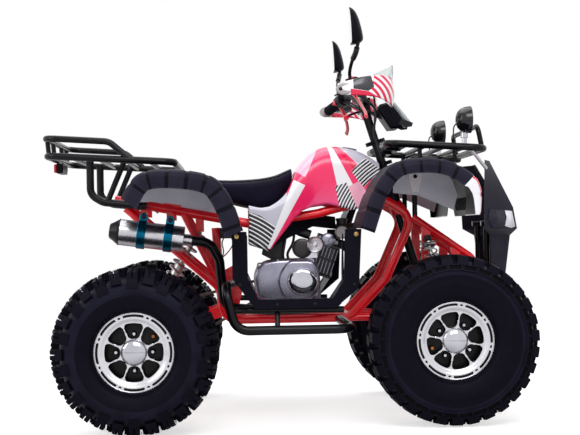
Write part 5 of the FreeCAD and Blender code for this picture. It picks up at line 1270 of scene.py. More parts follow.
INSERT_OUTLINE = mm([(700, 640), (727, 638), (738, 588), (722, 583.5), (698, 590), (706, 618)])
PAD_OUTLINE = mm([(640, 645), (694, 640), (701, 618), (693, 588), (648, 584.5), (632, 612)])
insert_points, pad_points = (np.array([on_bumper(x, z) for x, z in outline])
                             for outline in (INSERT_OUTLINE, PAD_OUTLINE))
inserts = together([Shape(insert_points, [[0, 1, 2, 3, 4, 5]]), Shape(pad_points, [[0, 1, 2, 3, 4, 5]], 1)])
insert_piece = make_piece("bumper_inserts", and_twin(inserts), [insert_film, charcoal_plastic], "chassis")
give_wall(insert_piece, 2 * INSERT_PROUD, 0.0)
print("inserts:", len(insert_points))

# %% [markdown]
# ## Engine
# Cast engine covers are shallow domes. A dome is an outline carried outwards in steps while it shrinks, and
# the steps follow a quarter of an ellipse, so the edge is round and the face is flat.


# %% Domes
def domed(outline, base, wall_end, crown, inset, steps=8, finish=0):
    """Outline (x, z) stood outwards along -Y: a straight wall, then rings drawn in on a quarter ellipse."""
    outline = wound(outline)
    ahead = np.roll(outline, -1, 0) - np.roll(outline, 1, 0)
    ahead /= np.linalg.norm(ahead, axis=1)[:, None]
    inward = np.stack([-ahead[:, 1], ahead[:, 0]], axis=-1)
    turn = np.linspace(0, math.pi / 2, steps)
    levels = [(base, 0.0)] + [(wall_end + (crown - wall_end) * math.sin(a), inset * (1 - math.cos(a)))
                              for a in turn]
    rings = [np.insert(outline + inward * draw, 1, y, axis=1) for y, draw in levels]
    return grid_shape(np.stack(rings), close_columns=True, caps=True, finish=finish)


def ellipse(x, z, half_x, half_z, lean, count=64):
    """Ellipse outline about a centre, leaned by an angle."""
    a = 2 * math.pi * np.arange(count) / count
    u, v = half_x * np.cos(a), half_z * np.sin(a)
    return np.stack([x + u * math.cos(lean) - v * math.sin(lean),
                     z + u * math.sin(lean) + v * math.cos(lean)], axis=-1)


def bolt_at(x, y, z, way=RIGHT, radius=5 * MM, height=4 * MM, finish=0):
    """Hexagon bolt whose head stands from a place in a direction."""
    return hex_bolt(radius, height, finish).moved(aimed((x, y, z), way))

# %% [markdown]
# The clutch cover is a bright die casting: two domes that overlap, the front one prouder, with an oval
# chrome window in it and bolts round the edge.

# %% Clutch cover
COVER_KNOTS = [(-103, 455), (-102, 400), (-88, 372), (-40, 363), (40, 362), (84, 374), (105, 402), (104, 450),
               (90, 492), (40, 498), (-30, 498), (-78, 488)]
FRONT_LOBE_KNOTS = [(-30, 440), (-27, 398), (-6, 370), (44, 364), (82, 376), (102, 404), (101, 448),
                    (86, 487), (38, 493), (0, 487)]
cover_outline = smooth_line(mm(COVER_KNOTS), 120, closed=True)
lobe_outline = smooth_line(mm(FRONT_LOBE_KNOTS), 110, closed=True)
WINDOW_X, WINDOW_Z, WINDOW_LEAN, WINDOW_RIM = 50 * MM, 425 * MM, -0.12, 3.5 * MM
WINDOW_HALF_X, WINDOW_HALF_Z = 47 * MM, 41 * MM
window = ellipse(WINDOW_X, WINDOW_Z, WINDOW_HALF_X, WINDOW_HALF_Z, WINDOW_LEAN)
window_rim = ellipse(WINDOW_X, WINDOW_Z, WINDOW_HALF_X + WINDOW_RIM, WINDOW_HALF_Z + WINDOW_RIM, WINDOW_LEAN)
clutch_cover = [domed(cover_outline, -83 * MM, -112 * MM, -128 * MM, 15 * MM),
                domed(lobe_outline, -100 * MM, -121 * MM, -133 * MM, 11 * MM),
                domed(window_rim, -126 * MM, -134 * MM, -136.5 * MM, 3 * MM),
                domed(window, -130 * MM, -134 * MM, -142.5 * MM, 22 * MM, steps=12, finish=1)]
for bolt_x, bolt_z in ((-86, 478), (-90, 388), (-34, 372), (92, 384), (84, 486), (-28, 490)):
    clutch_cover.append(turned_at([(0, 0), (0, 9), (34, 8), (36, 6.5), (36, 0)], 20,
                                  mm([bolt_x, -84, bolt_z])))
    clutch_cover.append(bolt_at(bolt_x * MM, -120 * MM, bolt_z * MM, finish=2))
make_piece("clutch_cover", together(clutch_cover), [bright_casting, chrome_trim, plated_steel], "chassis",
           ["engine_cover"], crease_deg=40)
print("cover rings:", len(clutch_cover))

# %% [markdown]
# The cylinder leans forward. Its sides are black castings with upright ribs, and the ribs' faces are machined
# bright. A box in the cylinder's own directions is set out first, and then everything is turned to the lean.

# %% Cylinder
LEAN = math.atan2(34, 100)
CYLINDER_FOOT = (100 * MM, 0, 440 * MM)
cylinder_place = Matrix.Translation(CYLINDER_FOOT) @ Matrix.Rotation(LEAN, 4, "Y")


def block_shape(x_low, x_high, y_low, y_high, z_low, z_high, draw, finish=0):
    """Box between limits whose two Y faces are drawn in by a chamfer."""
    outline = [(x_low, z_low), (x_high, z_low), (x_high, z_high), (x_low, z_high)]
    return slab(outline, y_low, y_high, draw, finish)


barrel = [block_shape(*mm([-38, 38, -44, 44, 8, 102, 3])),
          block_shape(*mm([-35, 35, -40, 40, 108, 134, 6])),
          block_shape(*mm([-42, 42, -46, 46, 100, 110, 2])),
          block_shape(*mm([-44, 44, -46, 46, 2, 9, 2]))]
for rib_x in np.linspace(-40, 40, 8) * MM:
    barrel.append(block_shape(rib_x - 2 * MM, rib_x + 2 * MM, -47 * MM, 47 * MM, 8 * MM, 101 * MM, 1 * MM))
    for low, high in ((14, 56), (64, 98)):
        for side in (-1, 1):
            face = sorted((side * 46.6 * MM, side * 47.8 * MM))
            barrel.append(block_shape(rib_x - 1.3 * MM, rib_x + 1.3 * MM, face[0], face[1], low * MM,
                                      high * MM, 0.2 * MM, finish=1))
barrel.append(turned_at([(0, 0), (0, 24), (5, 24), (8, 19), (9, 0)], 32, mm([0, -39, 120]), finish=1))
for bolt_x in (-28 * MM, 28 * MM):
    barrel.append(bolt_at(bolt_x, -40 * MM, 121 * MM, finish=1))
make_piece("ribbed_cylinder", together(barrel).moved(cylinder_place), [black_casting, bright_casting],
           "chassis", ["engine_cylinder"], crease_deg=30)
print("cylinder parts:", len(barrel))

# %% [markdown]
# The starter motor sits over the crankcase: a brown-black painted can and, in front of it, a spun cap with
# raised rings. Both are turned shapes, so each is one profile swept round the Y axis.

# %% Starter
CAN_PROFILE = [(0, 0), (0, 30), (3, 31.5), (56, 31.5), (60, 29), (62, 24), (62, 0)]
CAP_PROFILE = [(0, 0), (0, 24), (3, 26), (48, 26), (51, 25), (53, 22.5), (52.5, 20.5), (54.5, 18.5),
               (54, 15.5), (56, 13.5), (55.5, 9.5), (57.5, 7.5), (58.5, 3), (58.5, 0)]
can = turned_at(CAN_PROFILE, 56, mm([52, -50, 529.9]))
cap = turned_at(CAP_PROFILE, 56, mm([92, -61, 541]), finish=1)
lug = block_shape(*mm([56, 100, -104, -98, 498, 522, 1]), finish=1)
make_piece("starter_with_spun_cap", together([can, cap, lug]), [brown_enamel, polished_steel], "chassis",
           ["starter_motor"], crease_deg=25)
print("starter set")

# %% [markdown]
# The silencer hangs in two straps of blue anodised aluminium. Each strap is a flat band turned about the can,
# with a round ear that a bolt goes through. The outlet cone keeps its solid and gets ribs.

# %% Silencer fittings
MUFFLER_TAIL, MUFFLER_NECK = mm([-516, -240, 592]), mm([-321, -240, 565])
muffler_way = (MUFFLER_NECK - MUFFLER_TAIL) / np.linalg.norm(MUFFLER_NECK - MUFFLER_TAIL)
muffler_up = np.array([-muffler_way[2], 0, muffler_way[0]])
STRAP_SHARES, EAR_RISE = (0.34, 0.76), 55 * MM
strap_bolts, straps = [], []
for share in STRAP_SHARES:
    ear = MUFFLER_TAIL + (MUFFLER_NECK - MUFFLER_TAIL) * share + muffler_up * EAR_RISE
    band_centre = ear - muffler_up * EAR_RISE
    straps.append(turned_at([(-13, 40.2), (-13, 43), (-11.5, 44), (11.5, 44), (13, 43), (13, 40.2)], 64,
                            band_centre, muffler_way))
    ear_round = np.linspace(0, math.pi, 16)
    ear_outline = [(13 * math.cos(a), 55 + 13 * math.sin(a)) for a in ear_round] + [(-13, 38), (13, 38)]
    ear_points = np.array([band_centre[[0, 2]] + muffler_way[[0, 2]] * u * MM + muffler_up[[0, 2]] * v * MM
                           for u, v in ear_outline])
    straps.append(slab(ear_points, -246 * MM, -234 * MM, 1.5 * MM))
    strap_bolts.append(turned_at([(0, 0), (0, 12), (1.5, 12), (2, 9), (2, 0)], 28, ear - mm([0, 6, 0])))
    strap_bolts.append(bolt_at(ear[0], ear[1] - 8 * MM, ear[2], radius=6.5 * MM, height=5 * MM, finish=1))
make_piece("anodised_straps", together(straps), [blue_anodised], "chassis",
           ["muffler_clamps"], crease_deg=30)
make_piece("strap_bolts", together(strap_bolts), [blue_anodised, black_steel], "chassis")
cone_ribs = []
for turn in np.arange(8) * math.pi / 4:
    outward = np.array([0, math.cos(turn), 0]) + muffler_up * math.sin(turn)
    start = MUFFLER_TAIL + outward * 37 * MM - muffler_way * 1 * MM
    end = MUFFLER_TAIL + outward * 20 * MM - muffler_way * 30.5 * MM
    cone_ribs.append(round_bar(np.linspace(start, end, 4), 2.2 * MM, 8))
ring_angle = np.linspace(0, 2 * math.pi, 41)[:-1, None]
ring_line = MUFFLER_TAIL - muffler_way * 2 * MM + 39 * MM * (np.cos(ring_angle) * np.array([0, 1.0, 0])
                                                             + np.sin(ring_angle) * muffler_up)
cone_ribs.append(round_bar(ring_line, 2.4 * MM, 8, closed=True))
make_piece("cone_ribs", together(cone_ribs), [black_steel], "chassis")
print("silencer fittings:", len(strap_bolts) + len(cone_ribs))

# %% [markdown]
# The carburettor hangs between the air box and the head: a round float bowl, a slide tube with its cap, a
# choke drum that faces outwards, and the manifold. Two hoses drop behind the starter, and a small black unit
# hangs under the frame tube on a bracket, with a red lead.

# %% Carburettor and hoses
BOWL_PROFILE = [(0, 0), (0, 14), (3, 17), (16, 18), (17, 21), (20, 21), (21, 17), (22, 0)]
SLIDE_PROFILE = [(0, 0), (0, 17), (12, 17), (13, 19), (19, 19), (21, 16), (22, 0)]
CHOKE_PROFILE = [(0, 0), (0, 20), (20, 20), (23, 18), (23, 13), (21, 12), (21, 5), (24, 4), (24, 0)]
MANIFOLD_PROFILE = [(0, 0), (0, 17), (6, 17), (7, 19), (26, 19), (28, 17), (30, 0)]
carburettor = [turned_at(BOWL_PROFILE, 32, mm([185, -22, 558]), UP, finish=1),
               block_shape(*mm([166, 204, -56, 16, 578, 606, 5])),
               turned_at(SLIDE_PROFILE, 32, mm([185, -22, 604]), UP),
               turned_at(CHOKE_PROFILE, 32, mm([181, -60, 579]), finish=1),
               turned_at(MANIFOLD_PROFILE, 32, mm([204, -20, 590]), (1, 0, 0))]
make_piece("carburettor_and_choke", together(carburettor), [black_casting, end_casting], "chassis",
           ["carburettor"], crease_deg=30)
ENGINE_HOSES = [
    ([(4, -60, 590), (-4, -62, 548), (-10, -60, 510), (-6, -52, 484)], 5.5, 0),
    ([(30, -40, 588), (24, -44, 548), (6, -48, 512), (14, -46, 486)], 4.5, 0),
    ([(12, -50, 612), (40, -52, 588), (80, -50, 572)], 16.0, 0),
    ([(-176, -118, 572), (-170, -124, 548), (-188, -126, 520), (-212, -124, 500)], 2.0, 1),
    ([(-196, -118, 572), (-204, -124, 552), (-200, -126, 522), (-210, -122, 492)], 2.0, 0),
]
loose_hoses = [round_bar(smooth_line(mm(points), 30), radius * MM, 10, finish=finish)
               for points, radius, finish in ENGINE_HOSES]
# Painted shade: the last item is a flat black plate beside the hoses, rear of the starter, standing in for
# shade in that gap.
unit_bracket_and_shade_plate = [block_shape(*mm([-212, -168, -128, -104, 566, 600, 2])),
            block_shape(*mm([-198, -182, -124, -118, 598, 622, 1])),
            slab(mm([(-64, 588), (-4, 618), (-9, 494), (-30, 486), (-78, 512)]), -62 * MM, -58 * MM, 1 * MM)]
make_piece("engine_hoses_unit_and_shade_plate", together(loose_hoses + unit_bracket_and_shade_plate), [black_hose, red_lever], "chassis",
           crease_deg=40)
print("carburettor parts:", len(carburettor))

# %% [markdown]
# ## Spring legs
# A spring leg is a damper inside a coil of bright wire, between two cups. The coil is a round wire carried
# along a helix whose first and last turns lie flat on the cups, as a ground spring's do. The damper is a
# turned shape.

# %% Spring legs
WIRE_SHARE, FLAT_TURN = 0.12, 0.07
FOOT_CUP, HEAD_CUP = 26 * MM, 20 * MM
BODY_SHARE, ROD_SHARE, BODY_END = 0.52, 0.55, 0.55


def spring_leg(low, high, coil_radius, turns, eye_half):
    """Coil, cups, damper and eyes between two points, set out along Y and then aimed."""
    low, high = mm(low), mm(high)
    length = float(np.linalg.norm(high - low))
    coil_radius, eye_half = coil_radius * MM, eye_half * MM
    wire = coil_radius * WIRE_SHARE
    start, end = FOOT_CUP, length - HEAD_CUP
    share = np.linspace(0, 1, turns * 26)
    climb = np.clip((share - FLAT_TURN) / (1 - 2 * FLAT_TURN), 0, 1)
    angle = 2 * math.pi * (turns + 1) * share
    place = start + wire + (end - start - 2 * wire) * climb
    reach = coil_radius - wire - 0.5 * MM
    helix = points_of(reach * np.cos(angle), place, reach * np.sin(angle))
    neck, body, rod = eye_half - 3 * MM, coil_radius * BODY_SHARE, coil_radius * BODY_SHARE * ROD_SHARE
    lip = coil_radius * 0.9
    damper = [(9 * MM, 0), (9 * MM, neck), (22 * MM, neck), (23 * MM, coil_radius),
              (start - 1 * MM, coil_radius), (start, lip), (start, body), (length * BODY_END, body),
              (length * BODY_END + 1 * MM, rod), (end, rod), (end, lip), (end + 1 * MM, coil_radius),
              (end + 4 * MM, coil_radius), (end + 5 * MM, neck), (length - 9 * MM, neck),
              (length - 9 * MM, 0)]
    leg = [round_bar(helix, wire, 10), turned(damper, 32, finish=1)]
    matrix = aimed(low, high - low)
    eyes = [turned([(-eye_half, 0), (-eye_half, 8 * MM), (-eye_half + 1.5 * MM, 12 * MM),
                    (eye_half - 1.5 * MM, 12 * MM), (eye_half, 8 * MM), (eye_half, 0)], 24, finish=2)
            .moved(Matrix.Translation(Vector(point))) for point in (low, high)]
    return together([shape.moved(matrix) for shape in leg] + eyes)


REAR_LEG = spring_leg((-417, 0, 352), (-277, 0, 600), 30, 11, 17)
FRONT_LEG = spring_leg((496, -262, 254), (446, -158, 555), 24, 13, 12)
make_piece("rear_spring_leg", REAR_LEG, [shock_steel, plated_steel, black_steel], "chassis",
           ["rear_shock"], crease_deg=30)
make_piece("front_spring_legs", and_twin(FRONT_LEG), [shock_steel, plated_steel, black_steel], "chassis",
           ["front_shocks"], crease_deg=30)
print("spring legs: 3")

# %% [markdown]
# ## Guard bolts
# The footwell guards are held at their tops by brass-coloured flange bolts and lower down by small black
# ones. Each sits in a shallow washer, and all of them are one piece.

# %% Guard bolts
TOP_BOLTS_FROM = 500
guard_bolts = []
for bolt_x, bolt_z in ((-158, 572), (198, 574), (-150, 430), (190, 425), (-40, 369), (72, 369)):
    low_bolt = bolt_z < TOP_BOLTS_FROM
    guard_bolts.append(bolt_at(bolt_x * MM, -400.3 * MM, bolt_z * MM, radius=(3.5 if low_bolt else 5.5) * MM,
                               height=4 * MM, finish=int(low_bolt)))
make_piece("guard_bolts", and_twin(together(guard_bolts)), [brass_plate, black_steel], "chassis")
print("guard bolts:", 2 * len(guard_bolts))

# %% [markdown]
# ## Handlebar fittings
# Each grip is soft rubber with rings moulded round it, a flange at the thumb and a rounded end. The brake
# levers are forged and enamelled red: a flat tapering blade that drops in front of the grip. Everything is
# set out for the right hand, along the bar's last straight run, and the left hand has its mirror twin.

# %% Grips and levers
BAR_END = mm([176, -360, 1010])
BAR_BEND = mm([236, -150, 1046])
bar_way = (BAR_END - BAR_BEND) / np.linalg.norm(BAR_END - BAR_BEND)
GRIP_LENGTH = 114 * MM
RING_COUNT = 22
ring_place = np.linspace(-GRIP_LENGTH + 9 * MM, -6 * MM, RING_COUNT * 5)
ring_rise = 15.6 * MM + 1.5 * MM * np.clip(2.4 * np.sin(np.arange(RING_COUNT * 5) * 2 * math.pi / 5), -1, 1)
grip_profile = [(-GRIP_LENGTH, 11.6 * MM), (-GRIP_LENGTH, 21 * MM), (-GRIP_LENGTH + 3 * MM, 22.5 * MM),
                (-GRIP_LENGTH + 7 * MM, 20 * MM)]
grip_profile += list(zip(ring_place, ring_rise)) + [(-3 * MM, 17.5 * MM), (-1 * MM, 14 * MM),
                                                    (-1 * MM, 11.6 * MM)]
grip = turned(grip_profile, 40).moved(aimed(BAR_END, bar_way))
make_piece("ribbed_grips", and_twin(grip), [rubber_grip], "steering", ["grips"], crease_deg=50)

LEVER_LINE = mm([(193, -236, 1024), (214, -244, 1004), (232, -282, 968), (240, -322, 942), (238, -356, 926)])
lever_line = smooth_line(LEVER_LINE, 28)
lever_width = np.interp(np.linspace(0, 1, 28), [0, 0.2, 0.9, 0.96, 1], [1.0, 1.1, 0.82, 1.0, 0.6])
blade = carried(circle(1.0, 14) * np.array([8.5, 4.6]) * MM, lever_line, widths=lever_width)
PIVOT_WAY = (0.3, 0, 1)
pivot = turned_at([(-8, 0), (-8, 9), (-6, 10.5), (6, 10.5), (8, 9), (8, 0)], 24, LEVER_LINE[0], PIVOT_WAY)
perch = round_bar(np.linspace(BAR_END - bar_way * 142 * MM, LEVER_LINE[0], 4), 8 * MM, 12, finish=1)
pinch_bolt = bolt_at(*(LEVER_LINE[0] + mm([0, 0, 8])), way=PIVOT_WAY, finish=2)
make_piece("enamelled_levers", and_twin(together([blade, pivot, perch, pinch_bolt])),
           [red_lever, black_steel, plated_steel], "steering", ["levers"], crease_deg=40)
print("rings on a grip:", RING_COUNT)

# %% [markdown]
# The hand guards are thin gloss shells that sweep from the bar's end round in front of the knuckles. The
# shell is a height by a place along a smooth plan line, bellied outwards. Its film has arcs of crimson on
# white, a dark mesh patch and a crimson edge. At the bar's end an oval die-cast plate carries it on one bolt.

# %% Hand guards
GUARD_SECTIONS = mm([(-383, 152, 996, 1024), (-386, 182, 990, 1032), (-384, 226, 988, 1044),
                     (-368, 272, 983, 1050), (-330, 313, 968, 1050), (-270, 329, 962, 1047),
                     (-205, 330, 972, 1042), (-160, 320, 990, 1036)])
GUARD_BELLY, GUARD_WALL = 7 * MM, 3.5 * MM
guard_line = smooth_line(GUARD_SECTIONS, 64)
guard_ahead = np.gradient(guard_line[:, :2], axis=0)
guard_ahead /= np.linalg.norm(guard_ahead, axis=1)[:, None]
height_share = np.linspace(0, 1, 15)[None, :]
belly = GUARD_BELLY * np.sin(math.pi * height_share)
guard_grid = points_of(guard_line[:, 1:2] + guard_ahead[:, :1] * belly,
                       guard_line[:, :1] - guard_ahead[:, 1:2] * belly,
                       guard_line[:, 2:3] + (guard_line[:, 3:4] - guard_line[:, 2:3]) * height_share)
GUARD_FACETS = [
    ((CRIMSON, WHITE, 17.0, (215, 950), 0.52), [(266, 1062), (340, 1062), (340, 955), (276, 955),
                                                (252, 1004)]),
    ((BLACK, "#4a4952", 6.0, (300, 1120), 0.6), [(198, 1060), (250, 1060), (262, 1014), (244, 1001),
                                                 (198, 1008)]),
    (CRIMSON, [(190, 1008), (246, 1000), (280, 982), (264, 978), (190, 984)]),
]
guard_film = printed_film("guard_gloss_film", WHITE, WHITE, GUARD_FACETS)
shells = make_piece("gloss_hand_guards", and_twin(grid_shape(guard_grid)), [guard_film], "steering",
                    ["hand_guards"], crease_deg=40)
give_wall(shells, GUARD_WALL, -1.0)
plate = domed(ellipse(171 * MM, 1009 * MM, 25 * MM, 18.5 * MM, 0.1, 44), -381 * MM, -389 * MM, -391.5 * MM,
              4 * MM)
stub = turned_at([(0, 0), (0, 13), (24, 13), (24, 0)], 24, BAR_END + bar_way * 0.5 * MM)
plate_bolt = bolt_at(160 * MM, -391.4 * MM, 1008 * MM, radius=4.5 * MM, height=3 * MM, finish=1)
make_piece("guard_end_plates", and_twin(together([plate, stub, plate_bolt])), [end_casting, black_steel],
           "steering", crease_deg=40)
print("guard points:", guard_grid.shape[0] * guard_grid.shape[1])

# %% [markdown]
# ## Mirrors
# A mirror is a flat glass in a housing that bulges forwards, deepest near its foot, so from the side it looks
# like a fin. Each height has a D-shaped section. A bent stem carries it, with a rubber sleeve over its joint.

# %% Mirrors
MIRROR_PROFILE = mm([(1147, 13, 24), (1150, 26, 32), (1160, 36, 38), (1180, 35.5, 41), (1200, 32, 41),
                     (1222, 27, 38), (1240, 20, 31), (1251, 12, 22), (1257, 4, 10)])
MIRROR_Y = -352 * MM


def mirror_back(z):
    """Place of the glass along the machine: it leans back a little as it rises."""
    return 198 * MM - 0.045 * (z - 1147 * MM)


mirror_rows = smooth_line(MIRROR_PROFILE, 40)
front_turn = np.linspace(-math.pi / 2, math.pi / 2, 26)[None, :]
z_rows, depth_rows, half_rows = (mirror_rows[:, k:k + 1] for k in range(3))
front_x = mirror_back(z_rows) + depth_rows * np.cos(front_turn)
front_y = MIRROR_Y + half_rows * np.sin(front_turn)
housing = grid_shape(points_of(front_x, front_y, z_rows), close_columns=True, caps=True)
across = np.linspace(-0.9, 0.9, 12)[None, :]
glass_z = 1202 * MM + (z_rows - 1202 * MM) * 0.93
glass_grid = points_of(mirror_back(glass_z) - 0.8 * MM, MIRROR_Y + half_rows * across, glass_z)
glass = grid_shape(glass_grid, finish=1)
STEM_LINE = mm([(206, -236, 1042), (201, -240, 1072), (205, -282, 1102), (213, -326, 1124),
                (219, -350, 1152)])
stem_line = smooth_line(STEM_LINE, 30)
stem = round_bar(stem_line, 5.5 * MM, 12, finish=2)
sleeve = round_bar(stem_line[17:26], 8.5 * MM, 16, finish=3)
stem_nut = turned_at([(0, 0), (0, 10), (10, 10), (11, 7), (11, 0)], 6, STEM_LINE[0] - mm([0, 0, 4]), UP,
                     finish=2)
make_piece("mirrors_on_stems", and_twin(together([housing, glass, stem, sleeve, stem_nut])),
           [black_plastic, mirror_glass, black_steel, black_hose], "steering", ["mirrors"],
           crease_deg=35)
print("mirror rows:", len(mirror_rows))

# %% [markdown]
# ## Lamps
# The headlight is a black ribbed box with a sloping lens along its front and a small plate at each side of
# the lens.

# %% Headlight
lamp_case = slab(mm([(306, 974), (314, 992), (346, 1000), (391, 939), (374, 914), (347, 912)]),
                 -60 * MM, 60 * MM, 6 * MM)
lens_block = slab(mm([(348, 1001), (363, 999), (417, 931), (405, 921), (393, 938)]), -57 * MM, 57 * MM,
                  5 * MM, finish=1)
cheeks = [slab(mm([(384, 944), (420, 930), (416, 918), (398, 916), (372, 926)]), y * MM, (y + 4) * MM,
               1 * MM, finish=2) for y in (-63, 59)]
case_ribs = [slab(mm([(320 + k, 986 - 0.45 * k), (324 + k, 990 - 0.45 * k), (356 + 0.55 * k, 926 - 0.2 * k),
                      (352 + 0.55 * k, 922 - 0.2 * k)]), -61.5 * MM, 61.5 * MM, 0.5 * MM, finish=0)
             for k in (0, 8, 16, 24)]
bracket = slab(mm([(287, 966), (330, 942), (340, 960), (287, 976)]), -10 * MM, 10 * MM, 2 * MM, finish=2)
make_piece("headlight_box", together([lamp_case, lens_block, bracket] + cheeks + case_ribs),
           [black_plastic, lamp_glass, black_steel], "steering", ["headlight"],
           crease_deg=30)

# %% [markdown]
# The two driving lamps are round bowls on chrome stands, and a short lead leaves each bowl and drops through
# the rack. The tail lamp is a red lens in a black case, and it faces rearwards.

# %% Driving lamps and tail lamp
SPOT_PLACE = mm([552, -262, 921])
LAMP_BOWL = [(-27, 0), (-26, 12), (-21, 25), (-12, 34), (0, 39.5), (12, 41.5), (19, 42), (21, 40.5),
             (19, 38), (17, 0)]
LAMP_LENS = [(17.5, 38), (19, 34), (20.5, 24), (21.5, 12), (22, 0)]
LAMP_STAND = [(0, 0), (0, 13), (6, 13), (7, 8), (28, 8), (29, 12), (44, 11), (46, 8), (52, 7), (52, 0)]
bowl = turned_at(LAMP_BOWL, 48, SPOT_PLACE, (1, 0, 0))
spot_lens = turned_at(LAMP_LENS, 48, SPOT_PLACE, (1, 0, 0), finish=1)
stand = turned_at(LAMP_STAND, 24, SPOT_PLACE + mm([0, 4, -84]), UP, finish=2)
lead = round_bar(smooth_line(mm([(530, -262, 910), (520, -262, 900), (518, -260, 872), (524, -248, 842),
                                 (526, -240, 815), (536, -236, 790)]), 30), 2.2 * MM, 8, finish=3)
make_piece("driving_lamps", and_twin(together([bowl, spot_lens, stand, lead])),
           [gloss_black, lamp_glass, chrome_trim, black_hose], "chassis", ["spot_lamps"],
           crease_deg=40)
tail_case = slab(mm([(-731, 784), (-712, 784), (-710, 800), (-712, 815), (-731, 815)]), -60 * MM, 60 * MM,
                 3 * MM)
tail_lens = slab(mm([(-740, 787), (-731, 785), (-731, 814), (-740, 812)]), -58 * MM, 58 * MM, 2.5 * MM,
                 finish=1)
tail_arms = [slab(mm([(-726, 812), (-718, 812), (-718, 822), (-726, 822)]), y * MM, (y + 6) * MM, 1 * MM,
                  finish=2) for y in (-42, 36)]
make_piece("tail_lamp_case", together([tail_case, tail_lens] + tail_arms),
           [black_plastic, red_lens, plated_steel], "chassis", ["tail_lamp"], crease_deg=30)
print("tail lamp arms:", len(tail_arms))

# %% [markdown]
# ## Controls and hoses
# Black hoses run from each switch pod to the steering column and down it. They are clipped all the way, so
# they are fixed pieces on the turning column, close to its axis. A red switch stands on the right pod. The
# same round bar along a smooth line makes each hose.

# %% Hoses on the column
COLUMN_SLOPE = math.tan(math.radians(17))


def beside_column(z, y):
    """Point beside the column's axis at a height."""
    return (267 + COLUMN_SLOPE * (989 - z), y, z)


def hose(points, radius_mm, finish=0):
    """Round hose along a smooth line through points in millimetres."""
    return round_bar(smooth_line(mm(points), 44), radius_mm * MM, 10, finish=finish)


hoses = []
for offset in (0, 8):
    hoses.append(hose([(208, -214, 1030 + offset), (250, -150, 1002 + offset), (296, -86 - offset, 968),
                       beside_column(900, -40 - offset), beside_column(830, -30 - offset),
                       beside_column(780, -28)], 3.4))
hoses.append(hose([(190, -232, 1052), (232, -190, 1062), (286, -120, 1016), (296, -56, 958),
                   beside_column(890, -33)], 3.0))
hoses += [shape.moved(OTHER_SIDE) for shape in hoses]
clips = [turned_at([(-6, 20), (-6, 33), (6, 33), (6, 20), (-6, 20)], 24, mm(beside_column(z, 0)),
                   (-COLUMN_SLOPE, 0, 1), finish=1) for z in (872, 800)]
make_piece("control_hoses", together(hoses + clips), [black_hose, black_plastic], "steering",
           crease_deg=40)
switch = turned_at([(0, 0), (0, 8), (5, 8), (7, 6), (7, 0)], 20, mm([205, -232, 1056]), (-0.2, 0, 1))
key_plug = slab(mm([(196, 958), (212, 962), (214, 946), (198, 942)]), -40 * MM, -22 * MM, 2 * MM)
plug_arm = hose([(205, -31, 955), (232, -31, 966), (256, -31, 972)], 4, finish=1)
make_piece("red_switches", together([switch, key_plug, plug_arm]), [red_lever, black_plastic], "steering",
           crease_deg=30)
print("hoses:", len(hoses))

# %% [markdown]
# ## Floor and light
# The machine stands on a pale floor. A catalogue picture has a plain white ground with only a soft shadow
# under the tyres, so the floor adds white light for camera rays alone.

# %% Floor
FLOOR_HALF = 6.0
FLOOR_GLOW = 0.62
floor_points = np.array([(-FLOOR_HALF, -FLOOR_HALF, 0), (FLOOR_HALF, -FLOOR_HALF, 0),
                         (FLOOR_HALF, FLOOR_HALF, 0), (-FLOOR_HALF, FLOOR_HALF, 0)])
floor_mesh = bpy.data.meshes.new("studio_floor")
floor_mesh.from_pydata(floor_points.tolist(), [], [[0, 1, 2, 3]])
floor = bpy.data.objects.new("studio_floor", floor_mesh)
bpy.context.scene.collection.objects.link(floor)
floor_paper, floor_tree, floor_shader = new_finish("pale_studio_paper", {"Base Color": hex_colour("#dcdcdc"),
                                                                         "Roughness": 0.9})
floor_shader.inputs["Emission Color"].default_value = (1, 1, 1, 1)
floor_ray = add_node(floor_tree, "ShaderNodeLightPath")
floor_white = add_node(floor_tree, "ShaderNodeMath", {"operation": "MULTIPLY"}, inputs={1: FLOOR_GLOW},
                       links={0: (floor_ray, "Is Camera Ray")})
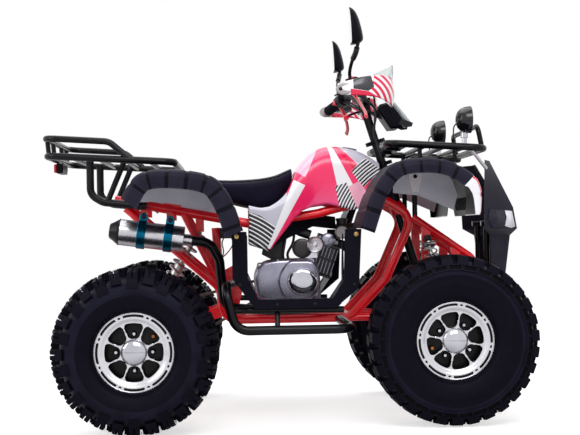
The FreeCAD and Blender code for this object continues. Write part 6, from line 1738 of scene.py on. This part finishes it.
floor_tree.links.new(floor_white.outputs["Value"], floor_shader.inputs["Emission Strength"])
floor_mesh.materials.append(floor_paper)
print("floor metres:", 2 * FLOOR_HALF)

# %% [markdown]
# The world is white for camera, mirror and glass rays and calmer for the light itself. Three broad lamps
# give the metal long highlights.

# %% World and lamps
WORLD_LEVEL = 0.70
world = bpy.data.worlds.new("studio")
bpy.context.scene.world = world
world.use_nodes = True
sky_tree = world.node_tree
sky_tree.nodes.clear()
ray_kind = add_node(sky_tree, "ShaderNodeLightPath")
seen = add_node(sky_tree, "ShaderNodeMath", {"operation": "MAXIMUM"},
                links={0: (ray_kind, "Is Camera Ray"), 1: (ray_kind, "Is Glossy Ray")})
seen = add_node(sky_tree, "ShaderNodeMath", {"operation": "MAXIMUM"},
                links={0: (seen, "Value"), 1: (ray_kind, "Is Transmission Ray")})
level = add_node(sky_tree, "ShaderNodeMapRange", inputs={"To Min": WORLD_LEVEL, "To Max": 1.0},
                 links={"Value": (seen, "Value")})
sky = add_node(sky_tree, "ShaderNodeBackground", inputs={"Color": (1, 1, 1, 1)},
               links={"Strength": (level, "Result")})
add_node(sky_tree, "ShaderNodeOutputWorld", links={"Surface": (sky, "Background")})

LAMPS = {"key_softbox": ((0.4, -3.2, 3.0), (2.4, 1.6), 62), "top_softbox": ((-0.3, 0.4, 3.4), (2.6, 2.6), 46),
         "rear_softbox": ((-2.8, -1.2, 1.9), (1.4, 1.8), 22)}
for name, (place, size, watts) in LAMPS.items():
    lamp_data = bpy.data.lights.new(name, "AREA")
    lamp_data.shape = "RECTANGLE"
    lamp_data.size, lamp_data.size_y = size
    lamp_data.energy = watts
    lamp = bpy.data.objects.new(name, lamp_data)
    lamp.location = place
    lamp.rotation_euler = (Vector((0, 0, 0.5)) - Vector(place)).to_track_quat("-Z", "Y").to_euler()
    bpy.context.scene.collection.objects.link(lamp)

bpy.context.scene.view_settings.view_transform = "Standard"
print("lamps:", list(LAMPS))

# %% [markdown]
# Last, the view layer is brought up to date.

# %% Close
bpy.context.view_layer.update()
